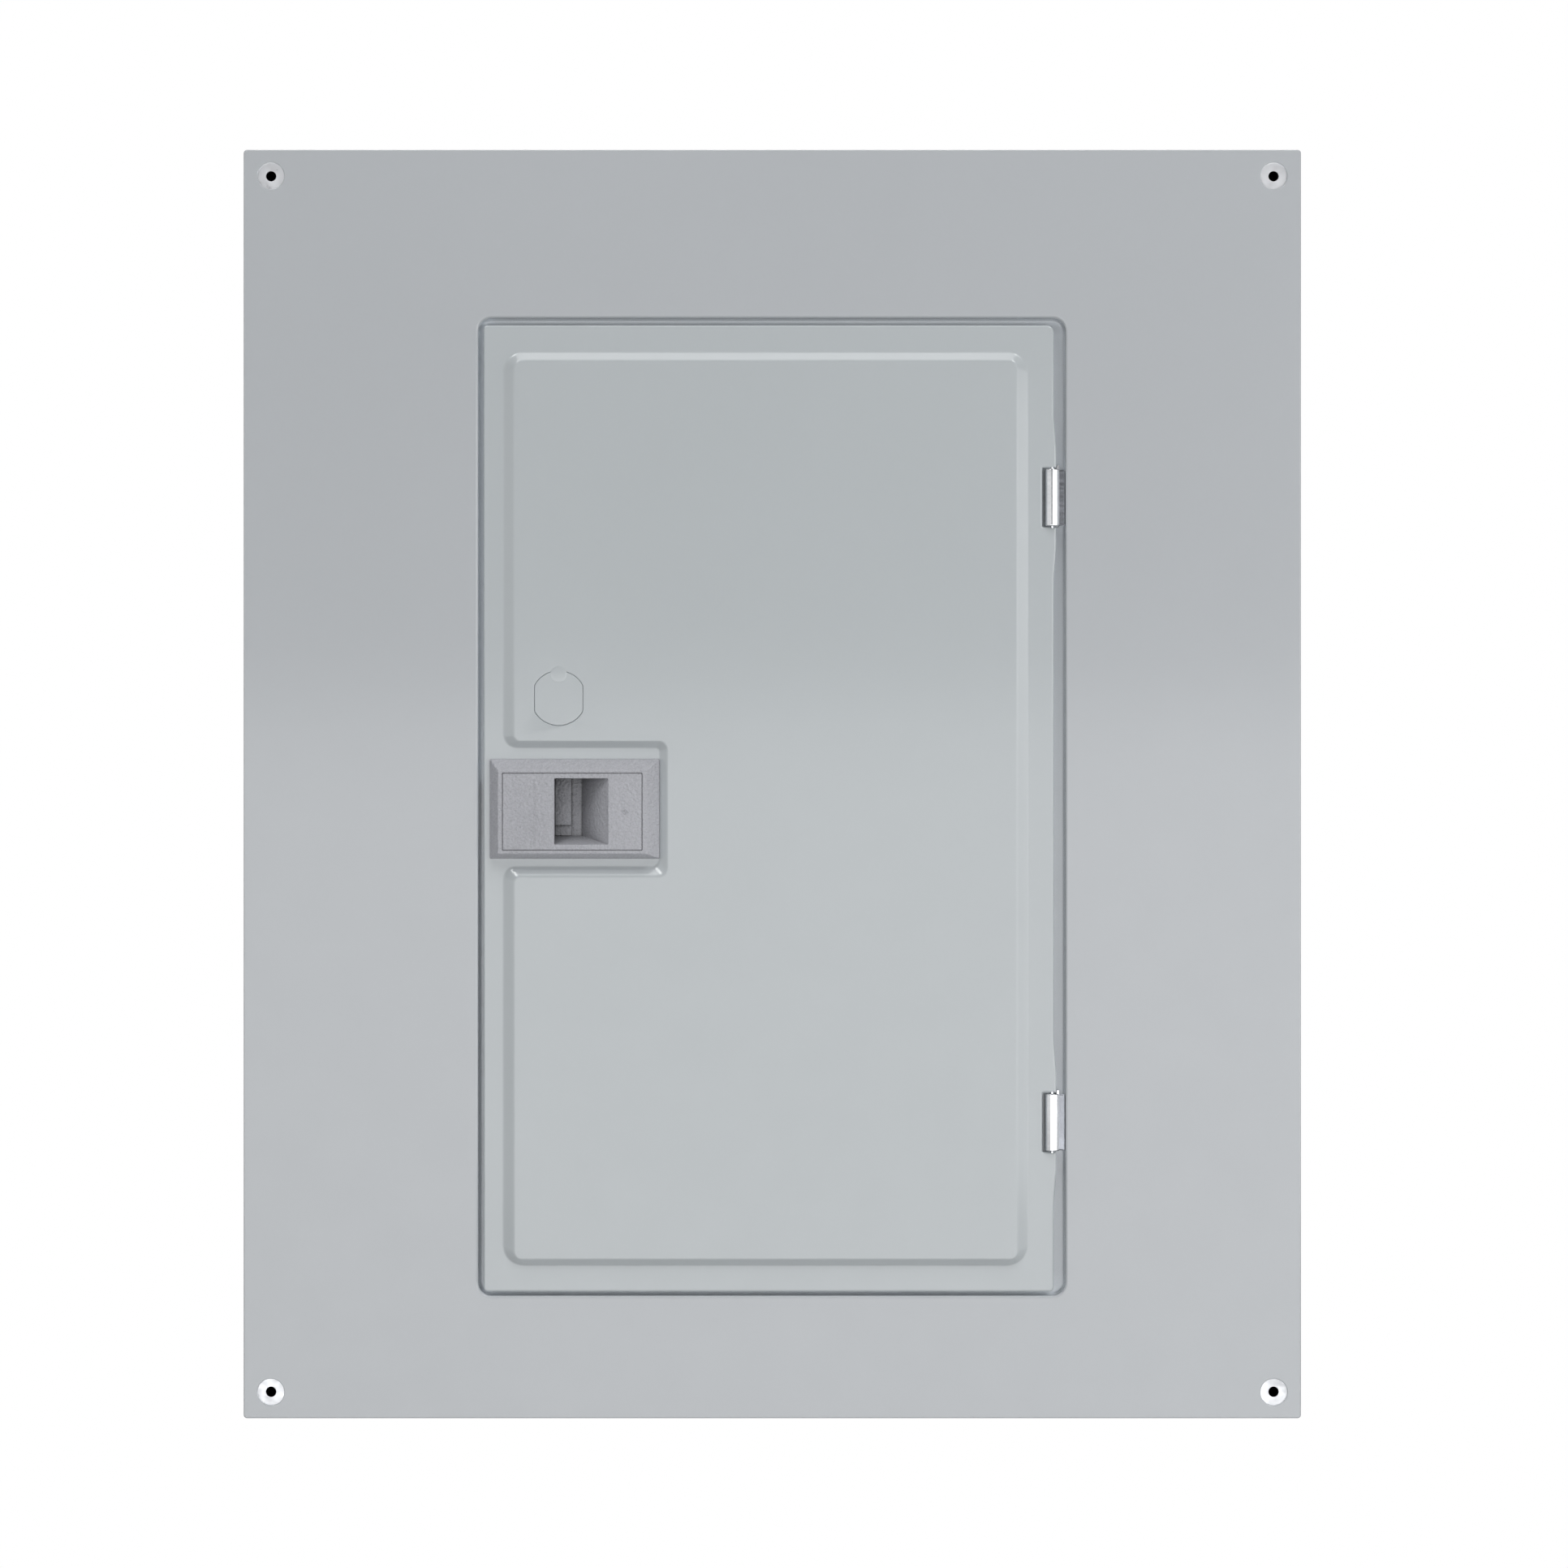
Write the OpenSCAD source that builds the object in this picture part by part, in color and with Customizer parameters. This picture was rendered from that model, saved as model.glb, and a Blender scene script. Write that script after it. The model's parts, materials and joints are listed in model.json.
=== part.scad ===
// Residential load center: wall box, interior, stamped cover and hinged door.
// Frame: origin at the centre of the back face on the wall, front towards -Y, +Z up.
// Places are given as [x], [distance out from the wall] and [z] ranges, in millimetres.

/* [Enclosure] */
// Width of the cover
cover_w = 362; // [360:0.5:366]
// Height of the cover
cover_h = 434.3; // [432:0.1:440]
// Depth of the box, from the wall to the back of the cover
box_depth = 95.25; // [95:0.05:96]
// Thickness of the box and cover sheet
sheet_t = 1.5; // [1.4:0.05:1.6]
// How far the box stays inside the edge of the cover
cover_lap = 1.5; // [1:0.1:2]
// Radius of the screw holes at the corners of the cover
cover_hole_r = 4.6; // [3.5:0.1:4.8]
// Radius of the tapped holes in the corner brackets
bracket_hole_r = 1.75; // [1.6:0.05:2.2]
// Radius of the wall screw holes
wall_hole_r = 3.6; // [3:0.1:4]

/* [Door] */
// Thickness of the door sheet
door_t = 1.2; // [1.1:0.05:1.3]
// Height of the raised field over the door's border
field_rise = 2; // [1.8:0.1:2.5]
// Depth of the stamped recess around the door
recess_depth = 5; // [4.9:0.1:5.1]
// Radius of the hinge pins
pin_r = 0.9; // [0.8:0.05:1]
// Outer radius of the hinge knuckles
knuckle_r = 2.43; // [2.2:0.01:2.5]

/* [Breakers] */
// Distance from one branch breaker to the next
pitch = 19.05; // [19:0.05:19.1]
// Angle of a handle either side of straight out
throw = 20; // [12:1:20]

/* [Hidden] */
$fn = 48;
run_gap = 0.05;   // radial clearance of a shaft in its hole
free_gap = 0.3;   // clearance between bodies that pass each other
over = 1;         // how far a cut runs past a face
slot_gap = 0.2;   // clearance of a sheet or a snap-in piece in its slot

box_x = [-cover_w / 2 + cover_lap, cover_w / 2 - cover_lap];
box_z = [-cover_h / 2 + cover_lap, cover_h / 2 - cover_lap];
cover_face = box_depth + sheet_t;
recess_face = cover_face - recess_depth;
recess_back = recess_face - sheet_t;
recess_x = [-100.7, 100.4];
recess_z = [-175.2, 159.6];
opening_x = [-86, 80];
opening_z = [-160, 145];
cover_corner_r = 1.2;
recess_r = 4.5;
opening_r = 4;
corner_x = cover_w / 2 - 9.3;
corner_z = cover_h / 2 - 8.95;
wall_hole_x = 150;
wall_hole_z = 185;
bracket_leg = 24;        // along the box's walls
bracket_flange = 12;     // along the depth

door_x = [-98.9, 96.4];
door_z = [-173.9, 157.1];
door_face = cover_face - 0.45;
door_back = door_face - door_t;
field_face = door_face + field_rise;
field_foot_x = [-92.7, 87.75];
field_foot_z = [-165, 148.3];
field_top_x = [-87.7, 83.4];
field_top_z = [-162.3, 144.4];
notch_foot = [-38.2, -28.1, 12.2];   // right edge, bottom and top at the border's level
notch_top = [-35.7, -32, 15];        // the same at the field's level
return_d = door_back - 2.5;
door_corner_r = 1.8;

hinge_x = 95.8;
hinge_d = door_face - door_t / 2;
hinge_places = [98.1, -115.9];
knuckle_half = 9.75;
hinge_slot_half = 10.15;
hinge_slot_w = 0.87;
curl_half = 18;
curl_r = 1.5;
pin_half = 17;
web_x = [hinge_x + 1.4, hinge_x + 2.4];
hinge_foot_t = 1;
leaf_d = [recess_face + 1.5, door_face - 0.3];   // its outer face beside the knuckle and at the recess's wall

lock_x = -73.1;
lock_z = 29.2;
lock_r = 9.3;
lock_flat = 8.35;
lock_cut = 0.25;
lock_tie_w = 5.5;

bezel_x = [-96.7, -38.6];
bezel_z = [-25.6, 8.6];
rim_x = [-93.8, -42.9];
rim_z = [-23.9, 4.7];
panel_x = [-92.4, -44.3];
panel_z = [-22.8, 3.9];
bezel_face = door_face + 4.7;
bezel_edge = door_face + 1;
bezel_wall = 1.6;
bezel_groove = 0.4;
pegs = [[-44, 5.5], [-44, -22.5], [-89, 5.5], [-89, -22.5]];
peg_r = 1.5;
peg_boss_r = 3;
pocket_x = [-74.5, -56.1];
pocket_z = [-20.7, 1.9];
tab_slot_x = [-74.5, -65.2];
tab_x = [-74.2, -69];
tab_d = door_face + 0.2;
pocket_block_x = [-76, -54.5];
pocket_block_z = [-22.2, 3.4];
pocket_block_d = door_face - 5.3;
pocket_floor = 0.9;                  // height of the ramp's foot over the back of the pocket block
tongue_tip_x = door_x[0] + 0.1;
tongue_z = [-17.4, -0.1];
strike_gap = [0.4, 0.6];             // round the tongue, in depth and in height
carrier_x = [-84, -51.2];
carrier_z = [-26, 7];
carrier_d = [door_back - 2.2, door_back - free_gap];
tray_x = [-79.9, -54.1];
tray_z = [-22.6, 3.8];
tray_floor_d = pocket_block_d - 0.4;
tray_t = 1.5;
spring_x = [-51, -42.2];
spring_turns = 6;
spring_steps = 12;
spring_sides = 6;
spring_wire_r = 0.35;
spring_coil_r = 1.6;
spring_d = 92.2;
spring_z = -8.5;
spring_seat_z = [-11, -6];
spring_seat_d = 90;
retainer_x = [-84.4, -40];
retainer_z = [-31, 12];
retainer_d = [carrier_d[0] - 2, carrier_d[0] - free_gap];
retainer_post = [3, 3.5];

dead_t = 1.2;
dead_r = 5;
dead_face = 79;
dead_x = [-95, 87.5];
dead_z = [-168, 153];
pan_x = [-84.5, 78.5];
pan_z = [-158, 143];
dead_screws = [[-93.4, 130], [-93.4, -145], [83.8, 130], [83.8, -145]];
dead_screw_r = 1.7;
main_window_x = [-25, 25];
main_window_z = [83, 129];

row_count = 10;
rows_top = 62;
rows_bottom = rows_top - row_count * pitch;
case_gap = 0.35;
case_x = [2, 77];
case_d = [26, 74];
nose_x = [4, 54];
nose_face = 82.5;
window_x = [nose_x[0] - 1, nose_x[1] + 2];
window_z = [rows_bottom - 0.5, rows_top + 0.5];
handle_x = 29;
handle_d = 76.5;
barrel_r = 7.2;
barrel_half = 3.5;
barrel_gap = 0.4;
trunnion_r = 1.5;
trunnion_half = 5;
terminal_x = 66;
main_x = [-36, 36];
main_z = [66, 146];
main_front_d = 72;
main_nose_x = [-24, 24];
main_nose_z = [84, 128];
main_nose_d = 83;
main_handle_z = 106;
main_handle_d = 77;
main_barrel_r = 8;
main_barrel_half = 9;
main_trunnion = 2;
lug_z = [146, 170];
lug_d = [32, 56];
lug_screw_r = 4.5;
main_lug_x = 18;
neutral_lug_x = -90;
neutral_lug_d = [16, 40];
neutral_lug_z = [50, 74];

back_gap = 1.5;                       // the pan's feet stand on the box's back sheet
pan_floor_d = [10, 11.2];
bus_d = [22, 25];
bus_top_z = 78;
bus_a_x = [-20, -8];
bus_b_x = [8, 20];
bar_z = [-141, 50];
screw_pitch = 11.8;
bar_x = [82.5, 91.5];
bar_d = [16, 26];
bar_end = [8, 6];                     // from the bar's ends to its first and last screw
ground_x = [140, 150];
ground_d = [1.5, 13];
ground_z = [-150, -30];
bar_screw_z = [for (z = [bar_z[0] + bar_end[0] : screw_pitch : bar_z[1] - bar_end[1]]) z];
ground_screw_z = [for (z = [ground_z[0] + bar_end[0] : screw_pitch : ground_z[1] - bar_end[1]]) z];
bar_screw_r = 1.9;
rail_x = [66, 80];
rail_z = [-132, 63];
rail_t = 1.5;
rail_top_d = 38;
rail_hook = 7;
bond_x = 87;
bond_z = -146;
bond_r = 2.5;
strap_d = [20, 23];
pan_x_edge = 92;
pan_screw = [98, 2.2];                // distance from the centre plane and hole radius
pan_screw_z = [-140, 150];
pan_t = pan_floor_d[1] - pan_floor_d[0];

// Breakers: [side, first row, poles]
breakers = [
  for (side = [-1, 1]) each [
    [side, 0, 2],
    for (row = [2 : 5]) [side, row, 1]
  ]
];
blank_rows = [6 : row_count - 1];

steel_paint = [0.70, 0.72, 0.74];
zinc = [0.80, 0.81, 0.82];
latch_grey = [0.63, 0.63, 0.66];
black_plastic = [0.10, 0.10, 0.11];
copper = [0.78, 0.50, 0.36];
aluminium = [0.80, 0.81, 0.83];
green = [0.10, 0.45, 0.22];
paper = [0.93, 0.92, 0.88];

function row_z(row, poles = 1) = rows_top - (row + poles / 2) * pitch;
function past(foot, top, share) = foot + (top - foot) * share;

// ---- Helpers: x and z as usual, d is the distance out from the wall ----

// Box between ranges of x, d and z
module slab(x, d, z) {
  translate([x[0], -d[1], z[0]]) cube([x[1] - x[0], d[1] - d[0], z[1] - z[0]]);
}

// Flat shape drawn in x and z, as thick as the range d
module plate(d) {
  translate([0, -d[0], 0]) rotate([90, 0, 0]) linear_extrude(d[1] - d[0]) children();
}

// Profile drawn in x and d, along a range of z
module along_z(z) {
  translate([0, 0, z[0]]) linear_extrude(z[1] - z[0]) mirror([0, 1]) children();
}

// Profile drawn in d and z, along a range of x
module along_x(x) {
  translate([x[0], 0, 0]) rotate([90, 0, 90]) linear_extrude(x[1] - x[0]) mirror([1, 0]) children();
}

// Rectangle in the plane with round corners
module soft_rect(x, z, r) {
  translate([x[0] + r, z[0]]) square([x[1] - x[0] - 2 * r, z[1] - z[0]]);
  translate([x[0], z[0] + r]) square([x[1] - x[0], z[1] - z[0] - 2 * r]);
  for (u = [x[0] + r, x[1] - r], v = [z[0] + r, z[1] - r]) translate([u, v]) circle(r);
}

module rod_y(x, d, z, r) {
  translate([x, -d[0], z]) rotate([90, 0, 0]) cylinder(r = r, h = d[1] - d[0]);
}

module rod_z(x, d, z, r) {
  translate([x, -d, z[0]]) cylinder(r = r, h = z[1] - z[0]);
}

module rod_x(x, d, z, r) {
  translate([x[0], -d, z]) rotate([0, 90, 0]) cylinder(r = r, h = x[1] - x[0]);
}

// Machine screw seen from the front: shank, round head and straight slot
module screw(x, z, shank_d, head_d, shank_r, head_r) {
  slot_w = 0.9;
  slot_deep = 0.7;
  difference() {
    union() {
      rod_y(x, shank_d, z, shank_r);
      rod_y(x, head_d, z, head_r);
    }
    slab([x - head_r, x + head_r], [head_d[1] - slot_deep, head_d[1] + over],
         [z - slot_w / 2, z + slot_w / 2]);
  }
}

// Range on one side of the centre plane
function sided(x, side) = side > 0 ? x : [-x[1], -x[0]];
function grow(range, by) = [range[0] - by, range[1] + by];
function middle(range) = (range[0] + range[1]) / 2;

// ---- Enclosure ----

end_knockouts = [[-125, 30, 11], [-75, 50, 14.3], [0, 48, 25], [75, 50, 14.3], [125, 30, 11]];
side_knockouts = [[180, 30, 11], [140, 50, 14.3], [-140, 50, 14.3], [-180, 30, 11]];
back_knockouts = [[-60, 195, 14.3], [60, 195, 14.3], [0, -190, 17.5]];

// Each knockout's place, with its axis along the hole and its radius in $r
module at_knockouts() {
  for (s = [-1, 1], k = end_knockouts) {
    $r = k[2];
    translate([k[0], -k[1], s * (box_z[1] - sheet_t / 2)]) children();
  }
  for (s = [-1, 1], k = side_knockouts) {
    $r = k[2];
    translate([s * (box_x[1] - sheet_t / 2), -k[1], k[0]]) rotate([0, 90, 0]) children();
  }
  for (k = back_knockouts) {
    $r = k[2];
    translate([k[0], -sheet_t / 2, k[1]]) rotate([90, 0, 0]) children();
  }
}

module enclosure() {
  color(steel_paint) difference() {
    slab(box_x, [0, box_depth], box_z);
    slab(grow(box_x, -sheet_t), [sheet_t, box_depth + over], grow(box_z, -sheet_t));
    at_knockouts() cylinder(r = $r, h = sheet_t + 2 * over, center = true);
    for (x = [-wall_hole_x, wall_hole_x], z = [-wall_hole_z, wall_hole_z]) {
      rod_y(x, [-over, sheet_t + over], z, wall_hole_r);
    }
  }
}

// A ring and an inner disc, held together and to the wall by narrow ties
module knockout_slug(r) {
  cut = 0.35;
  inner_r = 0.62 * r;
  tie_w = 2.4;
  difference() {
    cylinder(r = r - cut, h = sheet_t, center = true);
    difference() {
      cylinder(r = inner_r + cut, h = sheet_t + over, center = true);
      cylinder(r = inner_r, h = sheet_t + 2 * over, center = true);
    }
  }
  intersection() {
    cylinder(r = r, h = sheet_t, center = true);
    cube([tie_w, 2 * r + over, sheet_t], center = true);
  }
}

module box_knockouts() {
  color(steel_paint) at_knockouts() knockout_slug($r);
}

// Tabs across the box's corners that take the cover screws
module corner_brackets() {
  ix = box_x[1] - sheet_t;
  iz = box_z[1] - sheet_t;
  color(zinc) for (sx = [-1, 1], sz = [-1, 1]) difference() {
    union() {
      plate([box_depth - sheet_t, box_depth])
        polygon([[sx * ix, sz * iz], [sx * (ix - bracket_leg), sz * iz],
                 [sx * ix, sz * (iz - bracket_leg)]]);
      slab(sided([ix - sheet_t, ix], sx), [box_depth - bracket_flange, box_depth],
           sided([iz - bracket_leg, iz], sz));
    }
    rod_y(sx * corner_x, [box_depth - bracket_flange, box_depth + over], sz * corner_z, bracket_hole_r);
  }
}

// ---- Cover ----

module cover() {
  color(steel_paint) difference() {
    union() {
      plate([box_depth, cover_face])
        soft_rect([-cover_w / 2, cover_w / 2], [-cover_h / 2, cover_h / 2], cover_corner_r);
      plate([recess_back, box_depth + sheet_t / 2])
        soft_rect(grow(recess_x, sheet_t), grow(recess_z, sheet_t), recess_r + sheet_t);
    }
    plate([recess_face, cover_face + over]) soft_rect(recess_x, recess_z, recess_r);
    plate([recess_back - over, recess_face + over]) soft_rect(opening_x, opening_z, opening_r);
    for (x = [-corner_x, corner_x], z = [-corner_z, corner_z]) {
      rod_y(x, [box_depth - over, cover_face + over], z, cover_hole_r);
    }
    for (z = hinge_places) {
      slab(grow(web_x, slot_gap), [recess_back - over, recess_face + over],
           grow([z - knuckle_half, z + knuckle_half], slot_gap));
    }
    slab([recess_x[0] - sheet_t - over, recess_x[0] + over],
         grow(carrier_d, strike_gap[0]), grow(tongue_z, strike_gap[1]));
    for (s = dead_screws) rod_y(s[0], [recess_back - over, recess_face + over], s[1], dead_screw_r);
  }
}

// ---- Dead front ----

module dead_front() {
  color(steel_paint) difference() {
    union() {
      plate([recess_back - dead_t, recess_back]) soft_rect(dead_x, dead_z, dead_r);
      plate([dead_face - dead_t, recess_back - dead_t / 2]) soft_rect(pan_x, pan_z, dead_r);
    }
    plate([dead_face, recess_back + over])
      soft_rect(grow(pan_x, -dead_t), grow(pan_z, -dead_t), dead_r - dead_t);
    for (side = [-1, 1]) {
      slab(sided(window_x, side), [dead_face - dead_t - over, dead_face + over], window_z);
    }
    slab(main_window_x, [dead_face - dead_t - over, dead_face + over], main_window_z);
    for (s = dead_screws) {
      rod_y(s[0], [recess_back - dead_t - over, recess_back + over], s[1], dead_screw_r);
    }
  }
}

module dead_front_screws() {
  head_h = 1.8;
  head_r = 2.9;
  shank = 4;
  color(zinc) for (s = dead_screws) {
    screw(s[0], s[1], [recess_back - shank, recess_face], [recess_face, recess_face + head_h],
          dead_screw_r, head_r);
  }
}

// Snap-in plates over the spaces with no breaker
module filler_plates() {
  rim = 1.6;
  leg = 4;
  leg_deep = 9;
  leg_inset = 6;
  color(black_plastic) for (side = [-1, 1], row = blank_rows) {
    z = row_z(row);
    slab(sided([nose_x[0], nose_x[1] + rim], side), [dead_face - dead_t, dead_face + rim],
         [z - pitch / 2 + slot_gap, z + pitch / 2 - slot_gap]);
    for (x = [nose_x[0] + leg_inset, nose_x[1] - leg_inset - leg]) {
      slab(sided([x, x + leg], side), [dead_face - leg_deep, dead_face - dead_t], [z - leg, z + leg]);
    }
  }
}

// ---- Door ----

// Raised field with sloped edges and a notch round the latch, moved out by lift
module field(lift) {
  foot = door_face + lift;
  top = field_face + lift;
  share = (top + over - foot) / (top - foot);
  notch_x = past(notch_foot[0], notch_top[0], share);
  notch_low = past(notch_foot[1], notch_top[1], share);
  notch_high = past(notch_foot[2], notch_top[2], share);
  difference() {
    intersection() {
      along_z(field_foot_z) polygon([[field_foot_x[0], foot], [field_foot_x[1], foot],
                                     [field_top_x[1], top], [field_top_x[0], top]]);
      along_x(field_foot_x) polygon([[foot, field_foot_z[0]], [foot, field_foot_z[1]],
                                     [top, field_top_z[1]], [top, field_top_z[0]]]);
    }
    intersection() {
      along_z([notch_low - over, notch_high + over])
        polygon([[field_foot_x[0] - over, foot], [notch_foot[0], foot],
                 [notch_x, top + over], [field_foot_x[0] - over, top + over]]);
      along_x([field_foot_x[0] - over, notch_x + over])
        polygon([[foot, notch_foot[1]], [foot, notch_foot[2]],
                 [top + over, notch_high], [top + over, notch_low]]);
    }
  }
}

// Edge of the sheet turned back along the left, top and bottom
module door_return() {
  hinge_clear = 8;
  difference() {
    plate([return_d, door_face]) soft_rect(door_x, door_z, door_corner_r);
    plate([return_d - over, door_face + over])
      soft_rect([door_x[0] + door_t, door_x[1] + 2 * over], grow(door_z, -door_t),
                door_corner_r - door_t / 2);
    slab([door_x[1] - hinge_clear, door_x[1] + over], [return_d - over, door_back], grow(door_z, over));
    slab([door_x[0] - over, door_x[0] + 2 * door_t], [return_d - over, door_back],
         grow(tongue_z, 2 * strike_gap[1]));
  }
}

// Round slug of a double-D lock hole
module lock_outline(cut) {
  intersection() {
    circle(lock_r - cut);
    square([2 * (lock_flat - cut), 2 * lock_r], center = true);
  }
}

module bezel_pegs(r, d) {
  for (p = pegs) rod_y(p[0], d, p[1], r);
}

module door() {
  color(steel_paint) difference() {
    union() {
      plate([door_back, door_face]) soft_rect(door_x, door_z, door_corner_r);
      door_return();
      field(0);
      for (z = hinge_places) rod_z(hinge_x, hinge_d, [z - curl_half, z + curl_half], curl_r);
    }
    field(-door_t);
    for (z = hinge_places) {
      slab([hinge_x - knuckle_r - hinge_slot_w, hinge_x + 2 * curl_r],
           grow([door_back, door_face], 2 * over),
           [z - hinge_slot_half, z + hinge_slot_half]);
      rod_z(hinge_x, hinge_d, [z - pin_half, z + pin_half], pin_r);
    }
    slab(grow(pocket_block_x, free_gap), [door_back - over, door_face + over],
         grow(pocket_block_z, free_gap));
    bezel_pegs(peg_r, [door_back - over, door_face + over]);
    plate([door_face - over, field_face + over]) translate([lock_x, lock_z]) lock_outline(0);
  }
}

// Slug of the lock hole, tied to the door sheet at its top
module lock_knockout() {
  color(steel_paint) plate([field_face - door_t, field_face]) translate([lock_x, lock_z]) {
    lock_outline(lock_cut);
    intersection() {
      lock_outline(0);
      translate([-lock_tie_w / 2, 0]) square([lock_tie_w, lock_r]);
    }
  }
}

module directory_card() {
  card_t = 0.5;
  color(paper) slab([-26, 76], [field_face - door_t - card_t, field_face - door_t], [-120, 120]);
}

// Fixed half of a hinge: knuckle, leaf rising to the recess's wall, web through the cover and foot behind
module hinge_strap(z) {
  zs = [z - knuckle_half, z + knuckle_half];
  foot_d = [recess_back - hinge_foot_t, recess_back];
  leaf_end = recess_x[1] - slot_gap;
  color(zinc) difference() {
    union() {
      rod_z(hinge_x, hinge_d, zs, knuckle_r);
      slab(web_x, [foot_d[0], hinge_d], zs);
      along_z(zs) polygon([[web_x[0], recess_face], [leaf_end, recess_face], [leaf_end, leaf_d[1]],
                           [web_x[0], leaf_d[0]]]);
      slab([dead_x[1] + free_gap, web_x[1]], foot_d, zs);
    }
    rod_z(hinge_x, hinge_d, grow(zs, over), pin_r + run_gap);
  }
}

module hinge_pin(z) {
  color(zinc) rod_z(hinge_x, hinge_d, [z - pin_half, z + pin_half], pin_r);
}

// ---- Latch ----

module bezel_shell() {
  intersection() {
    along_z(bezel_z)
      polygon([[bezel_x[0], door_face], [bezel_x[0], bezel_edge], [rim_x[0], bezel_face],
               [rim_x[1], bezel_face], [bezel_x[1], bezel_edge], [bezel_x[1], door_face]]);
    along_x(bezel_x)
      polygon([[door_face, bezel_z[0]], [bezel_edge, bezel_z[0]], [bezel_face, rim_z[0]],
               [bezel_face, rim_z[1]], [bezel_edge, bezel_z[1]], [door_face, bezel_z[1]]]);
  }
}

// Frame, panel and finger pocket in one moulding, pegged through the door
module latch_bezel() {
  color(latch_grey) difference() {
    union() {
      difference() {
        bezel_shell();
        slab(panel_x, [door_face - over, bezel_face - bezel_wall], panel_z);
      }
      slab(pocket_block_x, [pocket_block_d, bezel_face - bezel_wall / 2], pocket_block_z);
      bezel_pegs(peg_boss_r, [door_face, bezel_face - bezel_wall / 2]);
      bezel_pegs(peg_r, [door_back - door_t, door_face + over]);
    }
    difference() {
      slab(panel_x, [bezel_face - bezel_groove, bezel_face + over], panel_z);
      slab(grow(panel_x, -bezel_groove), [bezel_face - over, bezel_face + 2 * over],
           grow(panel_z, -bezel_groove));
    }
    along_z(pocket_z)
      polygon([[tab_slot_x[0], pocket_block_d - over], [tab_slot_x[1], pocket_block_d - over],
               [tab_slot_x[1], pocket_block_d + pocket_floor], [pocket_x[1], bezel_face],
               [pocket_x[1], bezel_face + over], [pocket_x[0], bezel_face + over]]);
  }
}

// Tongue, carrier and tray in one moulding, with the finger tab standing in the pocket
module latch_slider() {
  color(latch_grey) {
    difference() {
      union() {
        slab(carrier_x, carrier_d, carrier_z);
        slab([tongue_tip_x, carrier_x[0] + over], carrier_d, tongue_z);
        slab(grow(tray_x, tray_t), [tray_floor_d - tray_t, carrier_d[1]], grow(tray_z, tray_t));
      }
      slab(tray_x, [tray_floor_d, carrier_d[1] + over], tray_z);
    }
    slab(tab_x, [tray_floor_d - tray_t / 2, tab_d], grow(pocket_z, -free_gap));
    slab([carrier_x[1] - tray_t, carrier_x[1]], [spring_seat_d, carrier_d[1]], spring_seat_z);
  }
}

// Ring k of the coil's wire, as points round its centre line
function wire_ring(k) = let (
  a = 360 * k / spring_steps,
  length = spring_x[1] - spring_x[0] - 2 * spring_wire_r,
  x = spring_x[0] + spring_wire_r + length * k / (spring_turns * spring_steps)
) [for (s = [0 : spring_sides - 1])
    let (w = 360 * s / spring_sides, r = spring_coil_r + spring_wire_r * cos(w))
    [x + spring_wire_r * sin(w), -spring_d + r * cos(a), spring_z + r * sin(a)]];

module latch_spring() {
  rings = spring_turns * spring_steps + 1;
  sides = spring_sides;
  points = [for (k = [0 : rings - 1]) each wire_ring(k)];
  walls = [for (k = [0 : rings - 2], s = [0 : sides - 1])
    let (t = (s + 1) % sides) [k * sides + s, k * sides + t, (k + 1) * sides + t, (k + 1) * sides + s]];
  ends = [[for (s = [sides - 1 : -1 : 0]) s], [for (s = [0 : sides - 1]) (rings - 1) * sides + s]];
  color(zinc) polyhedron(points, concat(walls, ends), convexity = 8);
}

// Plate behind the slider, standing on four posts, with the spring's pocket
module latch_retainer() {
  post_d = [retainer_d[0], door_back];
  post_xs = [retainer_x[0], retainer_x[1] - retainer_post[0]];
  post_zs = [retainer_z[0], retainer_z[1] - retainer_post[1]];
  tray_room_x = [-82, -47.6];
  spring_room_x = [-53.4, spring_x[1]];
  color(black_plastic) difference() {
    union() {
      slab(retainer_x, retainer_d, retainer_z);
      for (x = post_xs, z = post_zs) {
        slab([x, x + retainer_post[0]], post_d, [z, z + retainer_post[1]]);
      }
      slab([spring_x[1], retainer_x[1]], [spring_seat_d, door_back], grow(spring_seat_z, over));
    }
    slab(tray_room_x, grow(retainer_d, over), grow(tray_z, 2 * over));
    slab(spring_room_x, [retainer_d[0] - over, door_back + over], grow(spring_seat_z, free_gap));
    bezel_pegs(peg_r + run_gap, [retainer_d[0] - over, door_back + over]);
  }
}

// ---- Interior ----

module mounting_pan() {
  foot = 12;
  z = [-156, 165];
  color(zinc) difference() {
    union() {
      slab([-pan_x_edge, pan_x_edge], pan_floor_d, z);
      for (side = [-1, 1]) {
        slab(sided([pan_x_edge - pan_t, pan_x_edge], side), [back_gap, pan_floor_d[1]], z);
        slab(sided([pan_x_edge - pan_t, pan_x_edge + foot], side), [back_gap, back_gap + pan_t], z);
      }
    }
    for (side = [-1, 1], sz = pan_screw_z) {
      rod_y(side * pan_screw[0], [back_gap - over, back_gap + pan_t + over], sz, pan_screw[1]);
    }
  }
}

module interior_screws() {
  head_h = 2.8;
  head_r = 4.4;
  top = back_gap + pan_t;
  color(zinc) for (side = [-1, 1], z = pan_screw_z) {
    screw(side * pan_screw[0], z, [back_gap, top], [top, top + head_h], pan_screw[1], head_r);
  }
}

module bus_insulator() {
  rib = 1.2;
  rib_h = 2;
  x = [-34, 34];
  color(black_plastic) {
    slab(x, [pan_floor_d[1], bus_d[0] - rib_h], [-135, 65]);
    for (row = [0 : row_count]) {
      z = rows_top - row * pitch;
      slab(x, [bus_d[0] - rib_h, bus_d[0]], [z - rib, z + rib]);
    }
  }
}

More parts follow.
